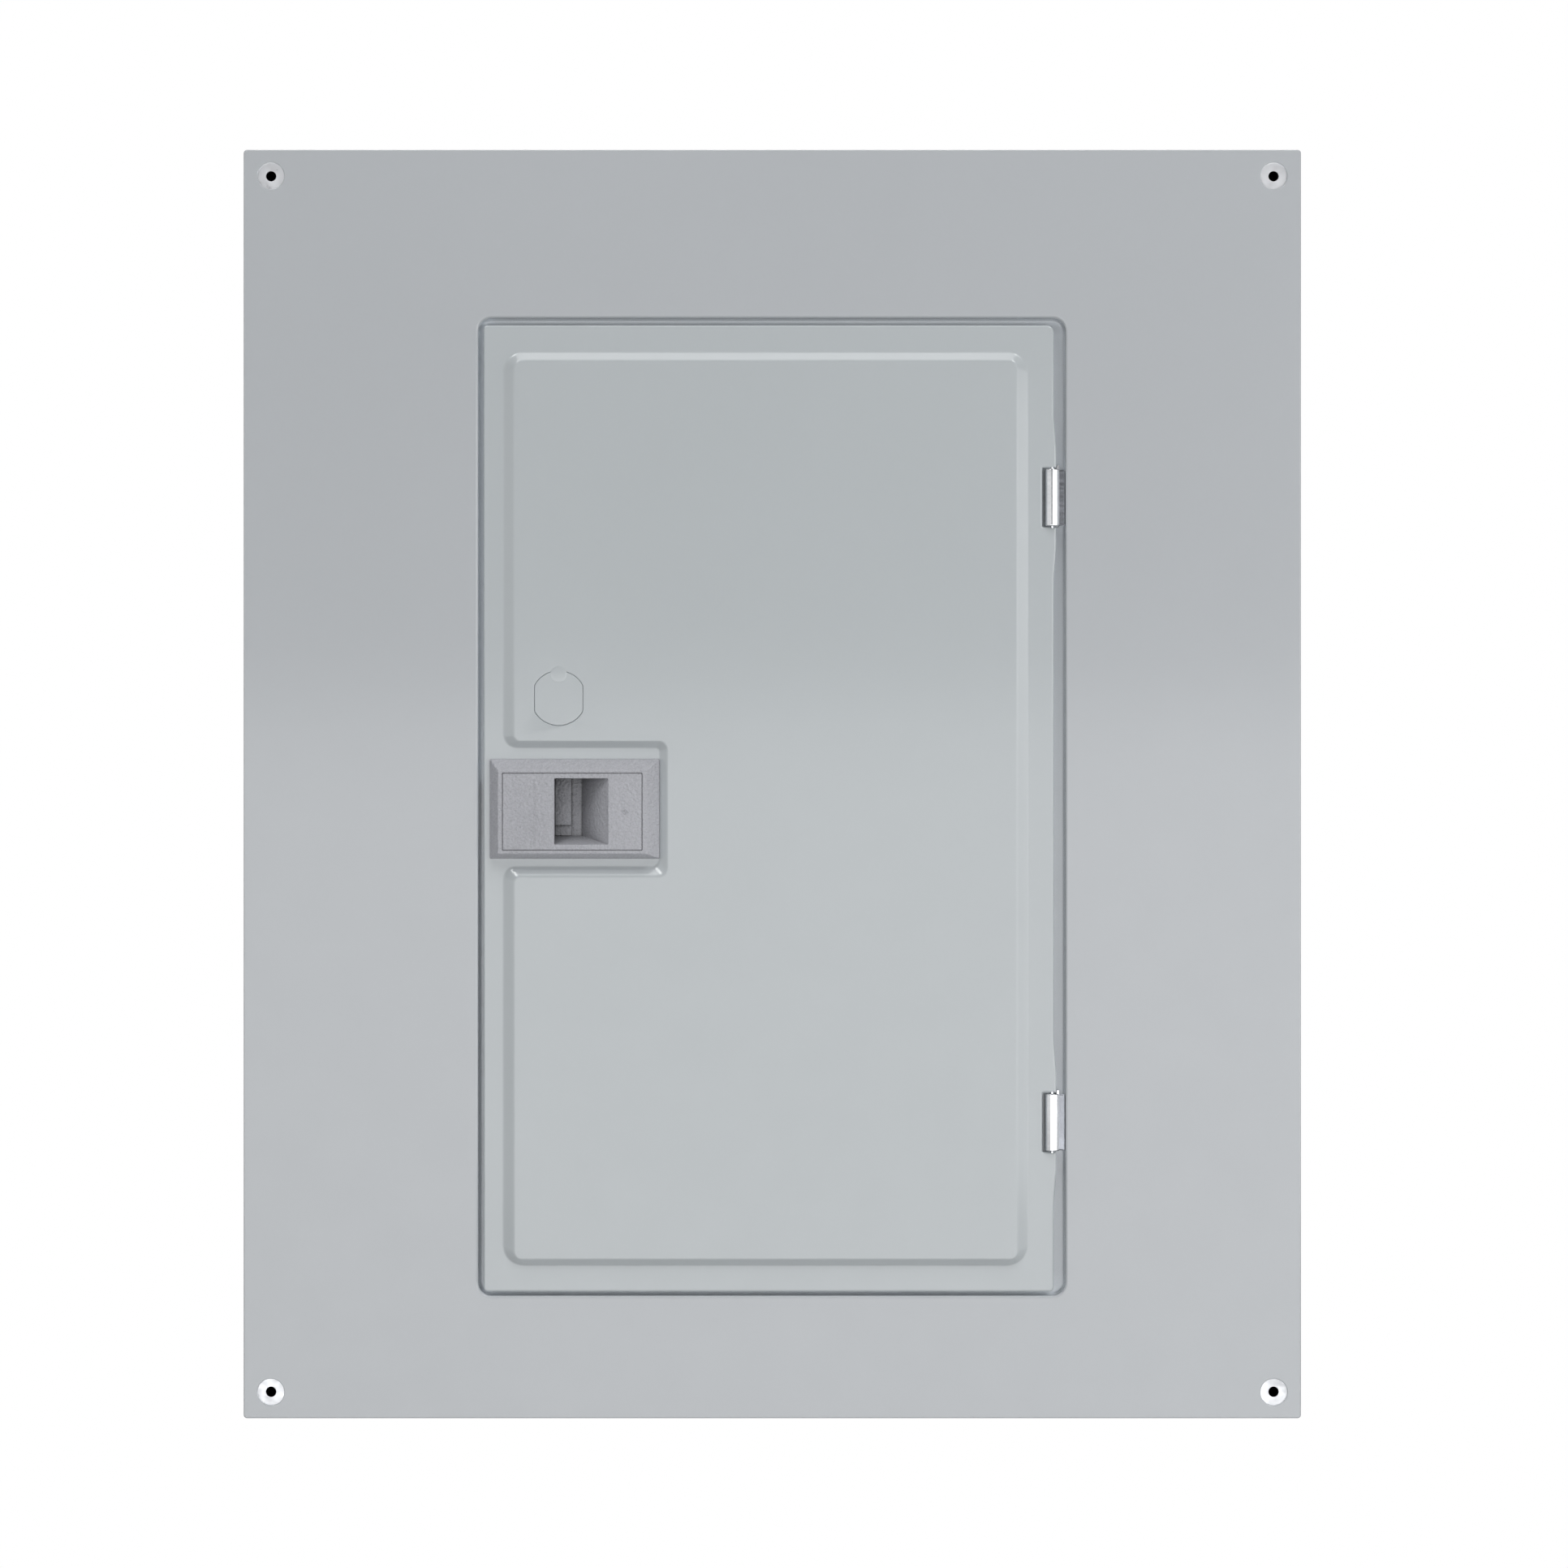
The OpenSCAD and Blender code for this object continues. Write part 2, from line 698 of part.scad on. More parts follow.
// Vertical bar with an arm and a standing stab at every other row
module bus_bar(side, bar_x, first_row) {
  stab_x = [-7.4, 7.4];
  arm_half = 4;
  stab_half = 1.5;
  stab_h = 16;
  inner = side < 0 ? [bar_x[0], stab_x[1]] : [stab_x[0], bar_x[1]];
  color(copper) {
    slab(bar_x, bus_d, [-130, bus_top_z]);
    for (row = [first_row : 2 : row_count - 1]) {
      z = row_z(row);
      slab(inner, bus_d, [z - arm_half, z + arm_half]);
      slab(stab_x, [bus_d[0], bus_d[1] + stab_h], [z - stab_half, z + stab_half]);
    }
  }
}

// Bent strip that the outer ends of the breakers hook on
module breaker_rail(side) {
  color(zinc) {
    slab(sided(rail_x, side), [pan_floor_d[1], pan_floor_d[1] + rail_t], rail_z);
    slab(sided([rail_x[1] - rail_t, rail_x[1]], side), [pan_floor_d[1], rail_top_d], rail_z);
    slab(sided([rail_x[1] - rail_hook, rail_x[1]], side), [rail_top_d - rail_t, rail_top_d], rail_z);
  }
}

// Bar with a wire hole and a tapped screw hole at each place
module terminal_bar(x, d, z, places) {
  wire_r = 2.6;
  mid_d = (d[0] + d[1]) / 2;
  color(aluminium) difference() {
    slab(x, d, z);
    for (p = places) {
      rod_x(grow(x, over), mid_d - 1, p, wire_r);
      rod_y(middle(x), [mid_d, d[1] + over], p, bar_screw_r);
    }
  }
}

module terminal_screws(x, d, places) {
  shank = 1.8;
  head_h = 2.4;
  head_r = 3.2;
  for (p = places) screw(x, p, [d - shank, d], [d, d + head_h], bar_screw_r, head_r);
}

module neutral_screws() {
  color(zinc) for (side = [-1, 1]) terminal_screws(side * middle(bar_x), bar_d[1], bar_screw_z);
}

module neutral_insulators() {
  half = 10;
  color(black_plastic) for (side = [-1, 1], z = [-120, -45, 25]) {
    slab(sided([bar_x[0], bar_x[1] - 1], side), [pan_floor_d[1], bar_d[0]], [z - half, z + half]);
  }
}

module neutral_strap() {
  color(aluminium) difference() {
    slab([-bar_x[1], bar_x[1]], strap_d, [bar_z[0] - 10, bar_z[0]]);
    rod_y(bond_x, grow(strap_d, over), bond_z, bond_r);
  }
}

module bonding_screw() {
  head_h = 3.5;
  head_r = 4.2;
  color(green) {
    rod_y(bond_x, [pan_floor_d[1], strap_d[1]], bond_z, bond_r);
    rod_y(bond_x, [strap_d[1], strap_d[1] + head_h], bond_z, head_r);
  }
}

// Block with a conductor bore up its middle and a clamp screw hole in front
module lug(x, half, d, z) {
  bore_r = 7;
  difference() {
    slab([x - half, x + half], d, z);
    rod_z(x, middle(d), grow(z, over), bore_r);
    rod_y(x, [middle(d), d[1] + over], middle(z), lug_screw_r);
  }
}

module main_lugs() {
  color(aluminium) for (x = [-main_lug_x, main_lug_x]) lug(x, 11, lug_d, lug_z);
}

module neutral_lug() {
  color(aluminium) lug(neutral_lug_x, 9, neutral_lug_d, neutral_lug_z);
}

module lug_screw(x, d, z) {
  half = 4;
  rod_y(x, [d[1] - half, d[1] + half], middle(z), lug_screw_r);
}

module main_lug_screws() {
  color(zinc) {
    for (x = [-main_lug_x, main_lug_x]) lug_screw(x, lug_d, lug_z);
    lug_screw(neutral_lug_x, neutral_lug_d, neutral_lug_z);
  }
}

// ---- Main breaker ----

module main_breaker_case() {
  cavity_x = [-main_barrel_half - free_gap, main_barrel_half + free_gap];
  trunnion_x = grow(cavity_x, main_trunnion);
  slot_half = 8.2;
  color(black_plastic) difference() {
    union() {
      slab(main_x, [pan_floor_d[1], main_front_d], main_z);
      slab(main_nose_x, [main_front_d - over, main_nose_d], main_nose_z);
    }
    slab([-22, 22], grow(bus_d, over), [main_z[0] - over, bus_top_z + 2 * over]);
    rod_x(cavity_x, main_handle_d, main_handle_z, main_barrel_r + barrel_gap);
    slab(cavity_x, [main_nose_d - 3, main_nose_d + over],
         [main_handle_z - slot_half, main_handle_z + slot_half]);
    rod_x(trunnion_x, main_handle_d, main_handle_z, trunnion_r + run_gap);
  }
}

// Tapered lever standing out from a pivot, drawn straight out
module toggle(half_base, half_top, reach, z) {
  along_z(z) polygon([[-half_base, 0], [-half_top, reach], [half_top, reach], [half_base, 0]]);
}

module main_breaker_handle() {
  color(black_plastic) {
    rod_x([-main_barrel_half, main_barrel_half], main_handle_d, main_handle_z, main_barrel_r);
    rod_x([-main_barrel_half - main_trunnion, main_barrel_half + main_trunnion], main_handle_d,
          main_handle_z, trunnion_r);
    translate([0, -main_handle_d, main_handle_z]) rotate([-throw, 0, 0]) rotate([0, 90, 0])
      toggle(3.4, 2.6, 13.5, [-7, 7]);
  }
}

// ---- Branch breakers ----

function breaker_zs(b) = [for (pole = [0 : b[2] - 1]) row_z(b[1] + pole)];

module breaker_case(b) {
  side = b[0];
  mid = row_z(b[1], b[2]);
  half = b[2] * pitch / 2 - case_gap / 2;
  z = [mid - half, mid + half];
  cavity_half = barrel_half + free_gap;
  slot_half = 7;
  screw_well = 60;
  hook_x = [rail_x[1] - rail_hook - 1.5, case_x[1] + over];
  wire_r = 2;
  wire_d = 56;
  color(black_plastic) difference() {
    union() {
      slab(sided(case_x, side), case_d, z);
      slab(sided(nose_x, side), [case_d[1] - over, nose_face], grow(z, -0.4));
    }
    slab(sided(hook_x, side), [case_d[0] - over, rail_top_d + slot_gap], grow(z, over));
    for (p = breaker_zs(b)) {
      cavity_z = [p - cavity_half, p + cavity_half];
      slab(sided([case_x[0] - over, 8], side), [case_d[0] - over, 43], [p - 2, p + 2]);
      rod_z(side * handle_x, handle_d, cavity_z, barrel_r + barrel_gap);
      rod_z(side * handle_x, handle_d, grow([p - trunnion_half, p + trunnion_half], free_gap),
            trunnion_r + run_gap);
      slab(sided([handle_x - slot_half, handle_x + slot_half], side),
           [nose_face - 3, nose_face + over], cavity_z);
      rod_x(sided([terminal_x - 6, case_x[1] + over], side), wire_d, p, wire_r);
      rod_y(side * terminal_x, [screw_well, case_d[1] + over], p, 3);
    }
  }
}

module breaker_terminal_screws() {
  color(zinc) for (b = breakers, p = breaker_zs(b)) {
    screw(b[0] * terminal_x, p, [60, 66], [66, 69], bar_screw_r, 3);
  }
}

// Rotor with a toggle for each pole, and a tie bar between two poles
module breaker_handle(b) {
  side = b[0];
  zs = breaker_zs(b);
  reach = 14;
  color(black_plastic) translate([side * handle_x, -handle_d, 0]) rotate([0, 0, -side * throw]) {
    for (p = zs) {
      rod_z(0, 0, [p - barrel_half, p + barrel_half], barrel_r);
      rod_z(0, 0, [p - trunnion_half, p + trunnion_half], trunnion_r);
      toggle(2.8, 2, reach, [p - 3, p + 3]);
    }
    if (b[2] > 1) slab([-1.6, 1.6], [10, reach - 0.5], [zs[1], zs[0]]);
  }
}

enclosure();
box_knockouts();
corner_brackets();
cover();
dead_front();
dead_front_screws();
filler_plates();
door();
lock_knockout();
hinge_strap(hinge_places[0]);  // hinge_strap_upper
hinge_strap(hinge_places[1]);  // hinge_strap_lower
hinge_pin(hinge_places[0]);  // hinge_pin_upper
hinge_pin(hinge_places[1]);  // hinge_pin_lower
latch_bezel();
latch_slider();
latch_spring();
latch_retainer();
directory_card();
mounting_pan();
interior_screws();
bus_insulator();
bus_bar(-1, bus_a_x, 0);  // bus_bar_a
bus_bar(1, bus_b_x, 1);  // bus_bar_b
breaker_rail(-1);  // breaker_rail_left
breaker_rail(1);  // breaker_rail_right
terminal_bar(sided(bar_x, -1), bar_d, bar_z, bar_screw_z);  // neutral_bar_left
terminal_bar(bar_x, bar_d, bar_z, bar_screw_z);  // neutral_bar_right
neutral_insulators();
neutral_strap();
neutral_lug();
neutral_screws();
bonding_screw();
terminal_bar(ground_x, ground_d, ground_z, ground_screw_z);  // ground_bar
union() {  // ground_screws
  color(zinc) terminal_screws(middle(ground_x), ground_d[1], ground_screw_z);
}
main_breaker_case();
main_breaker_handle();
main_lugs();
main_lug_screws();
breaker_terminal_screws();
for (n = [1 : len(breakers)]) {
  breaker_case(breakers[n - 1]);
  breaker_handle(breakers[n - 1]);
}
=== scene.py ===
"""Residential load center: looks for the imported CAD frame, in metres and in the frame's own axes.

The frame's origin is at the centre of the box's back; the front faces -Y, +Z is up and +X is to the right.
"""
import json
import math

import bmesh
import bpy
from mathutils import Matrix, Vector
from mathutils.geometry import tessellate_polygon


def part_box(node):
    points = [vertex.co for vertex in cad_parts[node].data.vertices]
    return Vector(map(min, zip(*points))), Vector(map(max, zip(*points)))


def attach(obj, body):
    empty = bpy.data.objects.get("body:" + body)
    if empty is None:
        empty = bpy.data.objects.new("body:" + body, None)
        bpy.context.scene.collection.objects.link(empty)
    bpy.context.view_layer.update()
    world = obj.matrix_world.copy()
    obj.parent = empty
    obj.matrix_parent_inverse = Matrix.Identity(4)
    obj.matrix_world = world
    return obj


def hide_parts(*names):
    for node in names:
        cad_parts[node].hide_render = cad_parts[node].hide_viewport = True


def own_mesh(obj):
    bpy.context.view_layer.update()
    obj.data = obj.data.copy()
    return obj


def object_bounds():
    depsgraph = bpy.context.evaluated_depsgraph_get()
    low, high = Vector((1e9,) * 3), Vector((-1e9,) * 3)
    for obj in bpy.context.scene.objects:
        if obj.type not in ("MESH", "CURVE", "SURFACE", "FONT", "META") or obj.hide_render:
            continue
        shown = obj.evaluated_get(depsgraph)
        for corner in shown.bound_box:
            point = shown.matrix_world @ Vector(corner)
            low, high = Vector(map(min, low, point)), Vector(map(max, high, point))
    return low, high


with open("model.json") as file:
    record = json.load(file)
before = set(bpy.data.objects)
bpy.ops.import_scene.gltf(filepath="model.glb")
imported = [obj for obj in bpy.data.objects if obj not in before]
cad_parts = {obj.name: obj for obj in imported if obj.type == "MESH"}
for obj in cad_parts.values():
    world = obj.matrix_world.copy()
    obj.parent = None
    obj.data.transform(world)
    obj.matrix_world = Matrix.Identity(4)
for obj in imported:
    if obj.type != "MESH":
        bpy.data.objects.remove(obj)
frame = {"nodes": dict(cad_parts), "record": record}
cad_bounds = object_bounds()

MM = 0.001

# ---------------------------------------------------------------- camera and light

VIEW_PER_COVER = 1932 / 1303      # width of the view over the width of the cover
CAMERA_DISTANCE = 2.0
SENSOR = 36.0


def add_camera():
    low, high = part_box("cover")
    view_w = (high.x - low.x) * VIEW_PER_COVER
    data = bpy.data.cameras.new("camera")
    data.sensor_width = SENSOR
    data.lens = SENSOR * CAMERA_DISTANCE / view_w
    data.clip_start = 0.05
    camera = bpy.data.objects.new("camera", data)
    camera.location = (4 * MM, low.y - CAMERA_DISTANCE, 0)
    camera.rotation_euler = (math.pi / 2, 0, 0)
    bpy.context.scene.collection.objects.link(camera)
    bpy.context.scene.camera = camera


def add_area(name, place, target, size, power):
    data = bpy.data.lights.new(name, "AREA")
    data.shape = "RECTANGLE"
    data.size, data.size_y = size
    data.energy = power
    light = bpy.data.objects.new(name, data)
    light.location = place
    light.rotation_euler = (Vector(target) - Vector(place)).to_track_quat("-Z", "Y").to_euler()
    bpy.context.scene.collection.objects.link(light)


def add_world(shown, mirrored, lighting):
    """White behind the object, a grey that its bright parts mirror and a weaker one that lights it."""
    world = bpy.data.worlds.new("studio")
    bpy.context.scene.world = world
    world.use_nodes = True
    nodes, links = world.node_tree.nodes, world.node_tree.links
    background = nodes["Background"]
    background.inputs["Color"].default_value = (1, 1, 1, 1)
    path = nodes.new("ShaderNodeLightPath")
    strength = nodes.new("ShaderNodeMapRange")
    glossy = nodes.new("ShaderNodeMapRange")
    glossy.inputs["To Min"].default_value = lighting
    glossy.inputs["To Max"].default_value = mirrored
    links.new(path.outputs["Is Glossy Ray"], glossy.inputs["Value"])
    links.new(glossy.outputs["Result"], strength.inputs["To Min"])
    strength.inputs["To Max"].default_value = shown
    links.new(path.outputs["Is Camera Ray"], strength.inputs["Value"])
    links.new(strength.outputs["Result"], background.inputs["Strength"])


def set_colours():
    """Plain screen colours, so that white is white."""
    view = bpy.context.scene.view_settings
    view.view_transform = "Standard"
    view.look = "None"


def add_floor(material):
    """A pale floor well below the object, out of the front view."""
    half, drop = 1.3, 0.35
    z = cad_bounds[0][2] - drop
    corners = [(-half, -half), (half, -half), (half, half), (-half, half)]
    verts = [(x, y, z) for x, y in corners]
    data = bpy.data.meshes.new("floor")
    data.from_pydata(verts, [], [(0, 1, 2, 3)])
    data.materials.append(material)
    floor = bpy.data.objects.new("floor", data)
    bpy.context.scene.collection.objects.link(floor)


# ---------------------------------------------------------------- materials

class Shader:
    """A node material around one Principled shader, in the object's own coordinates in metres."""

    def __init__(self, name, color, roughness, metallic=0.0):
        self.material = bpy.data.materials.new(name)
        self.material.use_nodes = True
        self.tree = self.material.node_tree
        self.shader = self.tree.nodes["Principled BSDF"]
        self.color = color
        self.set("Base Color", (*color, 1))
        self.set("Roughness", roughness)
        self.set("Metallic", metallic)
        self.place = self.tree.nodes.new("ShaderNodeTexCoord").outputs["Object"]

    def set(self, socket, value):
        self.shader.inputs[socket].default_value = value

    def feed(self, socket, value):
        """Links another node's output to a socket, or sets the socket to a constant."""
        if isinstance(value, bpy.types.NodeSocket):
            self.tree.links.new(value, socket)
        else:
            socket.default_value = value

    def node(self, kind, **inputs):
        """A new node with its inputs fed; an underscore in a name stands for a space."""
        made = self.tree.nodes.new("ShaderNode" + kind)
        for name, value in inputs.items():
            self.feed(made.inputs[name.replace("_", " ")], value)
        return made

    def stretched(self, scale):
        """The object's coordinates, scaled by a factor for each axis."""
        mapping = self.node("Mapping", Vector=self.place)
        mapping.inputs["Scale"].default_value = scale
        return mapping.outputs["Vector"]

    def noise(self, scale, detail=3.0, rough=0.5, vector=None):
        made = self.node("TexNoise", Vector=vector or self.place, Scale=scale, Detail=detail,
                         Roughness=rough)
        return made.outputs["Fac"]

    def spots(self, scale, feature="F1"):
        made = self.node("TexVoronoi", Vector=self.place, Scale=scale)
        made.feature = feature
        return made

    def ramp(self, value, low, high, to_low, to_high):
        """A value's range from low to high, mapped onto another range and held at its ends."""
        made = self.node("MapRange", Value=value, From_Min=low, From_Max=high, To_Min=to_low, To_Max=to_high)
        return made.outputs["Result"]

    def math(self, operation, a, b):
        made = self.tree.nodes.new("ShaderNodeMath")
        made.operation = operation
        for socket, value in zip(made.inputs, (a, b)):
            self.feed(socket, value)
        return made.outputs["Value"]

    def mix(self, share, first, second):
        """A blend of two colours, each an output or a constant; sockets 6, 7 and 2 carry the colours."""
        made = self.tree.nodes.new("ShaderNodeMix")
        made.data_type = "RGBA"
        self.feed(made.inputs["Factor"], share)
        for socket, value in ((made.inputs[6], first), (made.inputs[7], second)):
            self.feed(socket, (*value, 1) if isinstance(value, tuple) else value)
        return made.outputs[2]

    def shades(self, share, darkest, lightest):
        """Base colour between two multiples of the material's own colour."""
        first = tuple(c * darkest for c in self.color)
        second = tuple(min(1, c * lightest) for c in self.color)
        color = self.mix(share, first, second)
        self.link(color, "Base Color")
        return color

    def closed(self, reach):
        """How far the surroundings within a reach close a point in, from 0 to 1."""
        hollow = self.node("AmbientOcclusion", Distance=reach)
        hollow.samples = 8
        return self.math("SUBTRACT", 1, hollow.outputs["AO"])

    def link(self, output, socket):
        self.tree.links.new(output, self.shader.inputs[socket])

    def bump(self, *layers):
        """Stacks (height, strength, distance in metres) layers into the normal."""
        normal = None
        for height, strength, distance in layers:
            made = self.node("Bump", Height=height, Strength=strength, Distance=distance)
            if normal is not None:
                self.feed(made.inputs["Normal"], normal)
            normal = made.outputs["Normal"]
        self.link(normal, "Normal")


def srgb(red, green, blue):
    """Linear colour from 8-bit screen values."""
    def linear(value):
        share = value / 255
        return share / 12.92 if share <= 0.04045 else ((share + 0.055) / 1.055) ** 2.4
    return tuple(linear(v) for v in (red, green, blue))


def paint(name, color, roughness=0.42, bounce=0.0):
    """Baked enamel on steel: faint mottling, orange peel, and paler gaps that stand for bounced light."""
    s = Shader(name, color, roughness)
    cloud = s.noise(9, 4, 0.6)
    grain = s.noise(2600, 2, 0.6)
    both = s.math("ADD", s.math("MULTIPLY", cloud, 0.7), s.math("MULTIPLY", grain, 0.3))
    tinted = s.shades(both, 0.965, 1.035)
    if bounce:
        gap = s.ramp(s.closed(7 * MM), 0.2, 0.65, 0, bounce)
        s.link(s.mix(gap, tinted, GAP_GLOW), "Base Color")
    s.link(s.ramp(s.noise(60, 4), 0.3, 0.7, roughness - 0.05, roughness + 0.06), "Roughness")
    peel = s.noise(520, 2, 0.45)
    s.bump((peel, 0.16, 0.00006), (grain, 0.10, 0.00002))
    s.set("Specular IOR Level", 0.4)
    s.set("Coat Weight", 1.0)
    s.set("Coat Roughness", 0.1)
    return s.material


def pebbled(name, color, roughness=0.5, pitch=0.55 * MM, depth=0.0002, painted_shade=0.0):
    """Moulded plastic with a spark-eroded texture, and painted shade that darkens its grooves and hollows
    when asked for.
    """
    s = Shader(name, color, roughness)
    cell = s.spots(1 / pitch, "SMOOTH_F1")
    fine = s.noise(1.6 / pitch, 3, 0.6)
    cloud = s.math("ADD", s.math("MULTIPLY", s.noise(25, 3), 0.3), s.math("MULTIPLY", fine, 0.7))
    tinted = s.shades(s.ramp(cloud, 0.35, 0.65, 0, 1), 0.88, 1.12)
    if painted_shade:
        # painted shade: the colour is blended towards black where the surroundings close in, standing for
        # the shade in grooves and pockets
        hollow = s.ramp(s.closed(18 * MM), 0.25, 0.85, 0, painted_shade)
        s.link(s.mix(hollow, tinted, (0, 0, 0)), "Base Color")
    s.link(s.ramp(fine, 0.3, 0.7, roughness - 0.1, roughness + 0.1), "Roughness")
    s.bump((cell.outputs["Distance"], 0.9, depth), (fine, 0.7, 0.00009))
    return s.material


def plated(name, color, roughness, streak=(40, 40, 900)):
    """Bright plating over drawn metal, with streaks along the drawing direction."""
    s = Shader(name, color, roughness, 1.0)
    lines = s.noise(1, 3, 0.6, s.stretched(streak))
    s.shades(s.noise(140, 4, 0.65), 0.82, 1.08)
    s.link(s.ramp(lines, 0.25, 0.75, roughness * 0.6, roughness * 1.6), "Roughness")
    s.bump((lines, 0.12, 0.00003))
    return s.material


def galvanised(name, color):
    """Hot-dipped sheet with a small spangle."""
    s = Shader(name, color, 0.38, 1.0)
    cell = s.spots(110)
    tint = s.ramp(cell.outputs["Color"], 0, 1, 0, 1)
    s.shades(tint, 0.72, 1.1)
    s.link(s.ramp(tint, 0, 1, 0.28, 0.5), "Roughness")
    s.bump((s.noise(700, 2), 0.08, 0.00004))
    return s.material


def bare_metal(name, color, tarnish, roughness=0.3):
    """Rolled bar with length-wise scratches and a patchy tarnish."""
    s = Shader(name, color, roughness, 1.0)
    patch = s.ramp(s.noise(28, 5, 0.65), 0.42, 0.68, 0, 1)
    lines = s.noise(1, 3, 0.6, s.stretched((1400, 1400, 20)))
    s.link(s.mix(patch, color, tarnish), "Base Color")
    s.link(s.ramp(lines, 0.25, 0.75, roughness - 0.1, roughness + 0.14), "Roughness")
    s.bump((lines, 0.14, 0.00004))
    return s.material


def card_stock(name, color, ink):
    """Printed table: a ruled grid on slightly fibrous card."""
    s = Shader(name, color, 0.75)
    split = s.node("SeparateXYZ", Vector=s.place)
    row_pitch, column_pitch, line = 11.4 * MM, 25.5 * MM, 0.045
    lines = None
    for axis, pitch, width in (("Z", row_pitch, line), ("X", column_pitch, line * 0.5)):
        turn = s.math("FRACT", s.math("DIVIDE", split.outputs[axis], pitch), 0)
        here = s.math("LESS_THAN", turn, width)
        lines = here if lines is None else s.math("MAXIMUM", lines, here)
    fibre = s.noise(900, 5, 0.7)
    sheet = s.shades(fibre, 0.95, 1.02)
    s.link(s.mix(lines, sheet, ink), "Base Color")
    s.bump((fibre, 0.2, 0.00004))
    return s.material


def floor_material():
    """Pale matt floor that looks as light as the studio around it."""
    s = Shader("floor", (0.86, 0.86, 0.86), 0.7)
    s.shades(s.noise(6, 3), 0.98, 1.02)
    seen = s.node("LightPath").outputs["Is Camera Ray"]
    s.link(s.math("MULTIPLY", seen, 0.45), "Emission Strength")
    s.set("Emission Color", (1, 1, 1, 1))
    return s.material


GAP_GLOW = (0.82, 0.87, 0.92)     # paint colour deep in a gap, for the light that bounces there
COVER = srgb(184, 188, 192)
DOOR = srgb(185, 191, 194)
LATCH = srgb(176, 177, 183)

MATERIALS = {
    "cover_paint": paint("cover_paint", COVER, bounce=0.8),
    "door_paint": paint("door_paint", DOOR, bounce=0.45),
    "box_paint": paint("box_paint", srgb(176, 180, 184), 0.46),
    "inner_paint": paint("inner_paint", srgb(180, 184, 187), 0.44),
    "latch_plastic": pebbled("latch_plastic", LATCH, 0.42, 0.8 * MM, 0.0003, painted_shade=0.92),
    "retainer_plastic": pebbled("retainer_plastic", srgb(62, 62, 65), 0.45, 0.9 * MM),
    "filler_plastic": pebbled("filler_plastic", srgb(70, 71, 74), 0.48, 0.6 * MM),
    "insulator_plastic": pebbled("insulator_plastic", srgb(44, 44, 47), 0.55, 1.2 * MM),
    "breaker_plastic": pebbled("breaker_plastic", srgb(38, 38, 40), 0.45, 0.8 * MM, 0.00004),
    "handle_plastic": pebbled("handle_plastic", srgb(30, 30, 32), 0.32, 1.1 * MM, 0.00002),
    "bright_plate": plated("bright_plate", (0.66, 0.67, 0.69), 0.12),
    "zinc": plated("zinc", (0.62, 0.63, 0.65), 0.34, (300, 300, 300)),
    "galvanised": galvanised("galvanised", (0.66, 0.68, 0.70)),
    "spring_steel": plated("spring_steel", (0.55, 0.56, 0.58), 0.3),
    "bus_copper": bare_metal("bus_copper", (0.86, 0.47, 0.30), (0.42, 0.20, 0.13)),
    "bar_aluminium": bare_metal("bar_aluminium", (0.80, 0.81, 0.83), (0.55, 0.56, 0.58)),
    "green_screw": plated("green_screw", (0.03, 0.30, 0.10), 0.35, (300, 300, 300)),
    "card": card_stock("card", srgb(236, 233, 222), srgb(70, 72, 78)),
}

# ---------------------------------------------------------------- outlines and lofts

class Outline:
    """A closed outline in x and z, counter-clockwise seen from the front, with a radius at each corner."""

    def __init__(self, corners, radii):
        self.corners = [Vector(c) for c in corners]
        self.radii = list(radii) if hasattr(radii, "__len__") else [radii] * len(corners)

    def _around(self):
        count = len(self.corners)
        for i, corner in enumerate(self.corners):
            yield i, self.corners[i - 1], corner, self.corners[(i + 1) % count]

    def inset(self, by):
        """The outline moved inwards by a distance, with its corners' radii following."""
        corners, radii = [], []
        for i, before, here, after in self._around():
            enter = (here - before).normalized()
            leave = (after - here).normalized()
            first, second = Vector((-enter.y, enter.x)), Vector((-leave.y, leave.x))
            corners.append(here + (first + second) * (by / (1 + first.dot(second))))
            convex = enter.x * leave.y - enter.y * leave.x > 0
            radii.append(max(0.02 * MM, self.radii[i] + (-by if convex else by)))
        return Outline(corners, radii)

    def between(self, other, share):
        """The outline part of the way to another one with the same corners."""
        corners = [a.lerp(b, share) for a, b in zip(self.corners, other.corners)]
        radii = [a + (b - a) * share for a, b in zip(self.radii, other.radii)]
        return Outline(corners, radii)

    def points(self, steps=8):
        """Points along the outline, the same number at every corner."""
        found = []
        for i, before, here, after in self._around():
            back, on = (before - here).normalized(), (after - here).normalized()
            half = back.angle(on) / 2
            radius = self.radii[i]
            reach = radius / math.tan(half)
            centre = here + (back + on).normalized() * (radius / math.sin(half))
            start, end = here + back * reach - centre, here + on * reach - centre
            swing = math.pi - 2 * half
            for k in range(steps + 1):
                share = k / steps
                arm = math.sin((1 - share) * swing) * start + math.sin(share * swing) * end
                found.append(centre + arm / math.sin(swing))
        return found


def rectangle(x, z, radius):
    return Outline([(x[0], z[0]), (x[1], z[0]), (x[1], z[1]), (x[0], z[1])], radius)


def circle(x, z, radius, steps=40):
    """Points round a circle, counter-clockwise seen from the front."""
    angles = [2 * math.pi * k / steps for k in range(steps)]
    return [Vector((x + radius * math.cos(a), z + radius * math.sin(a))) for a in angles]


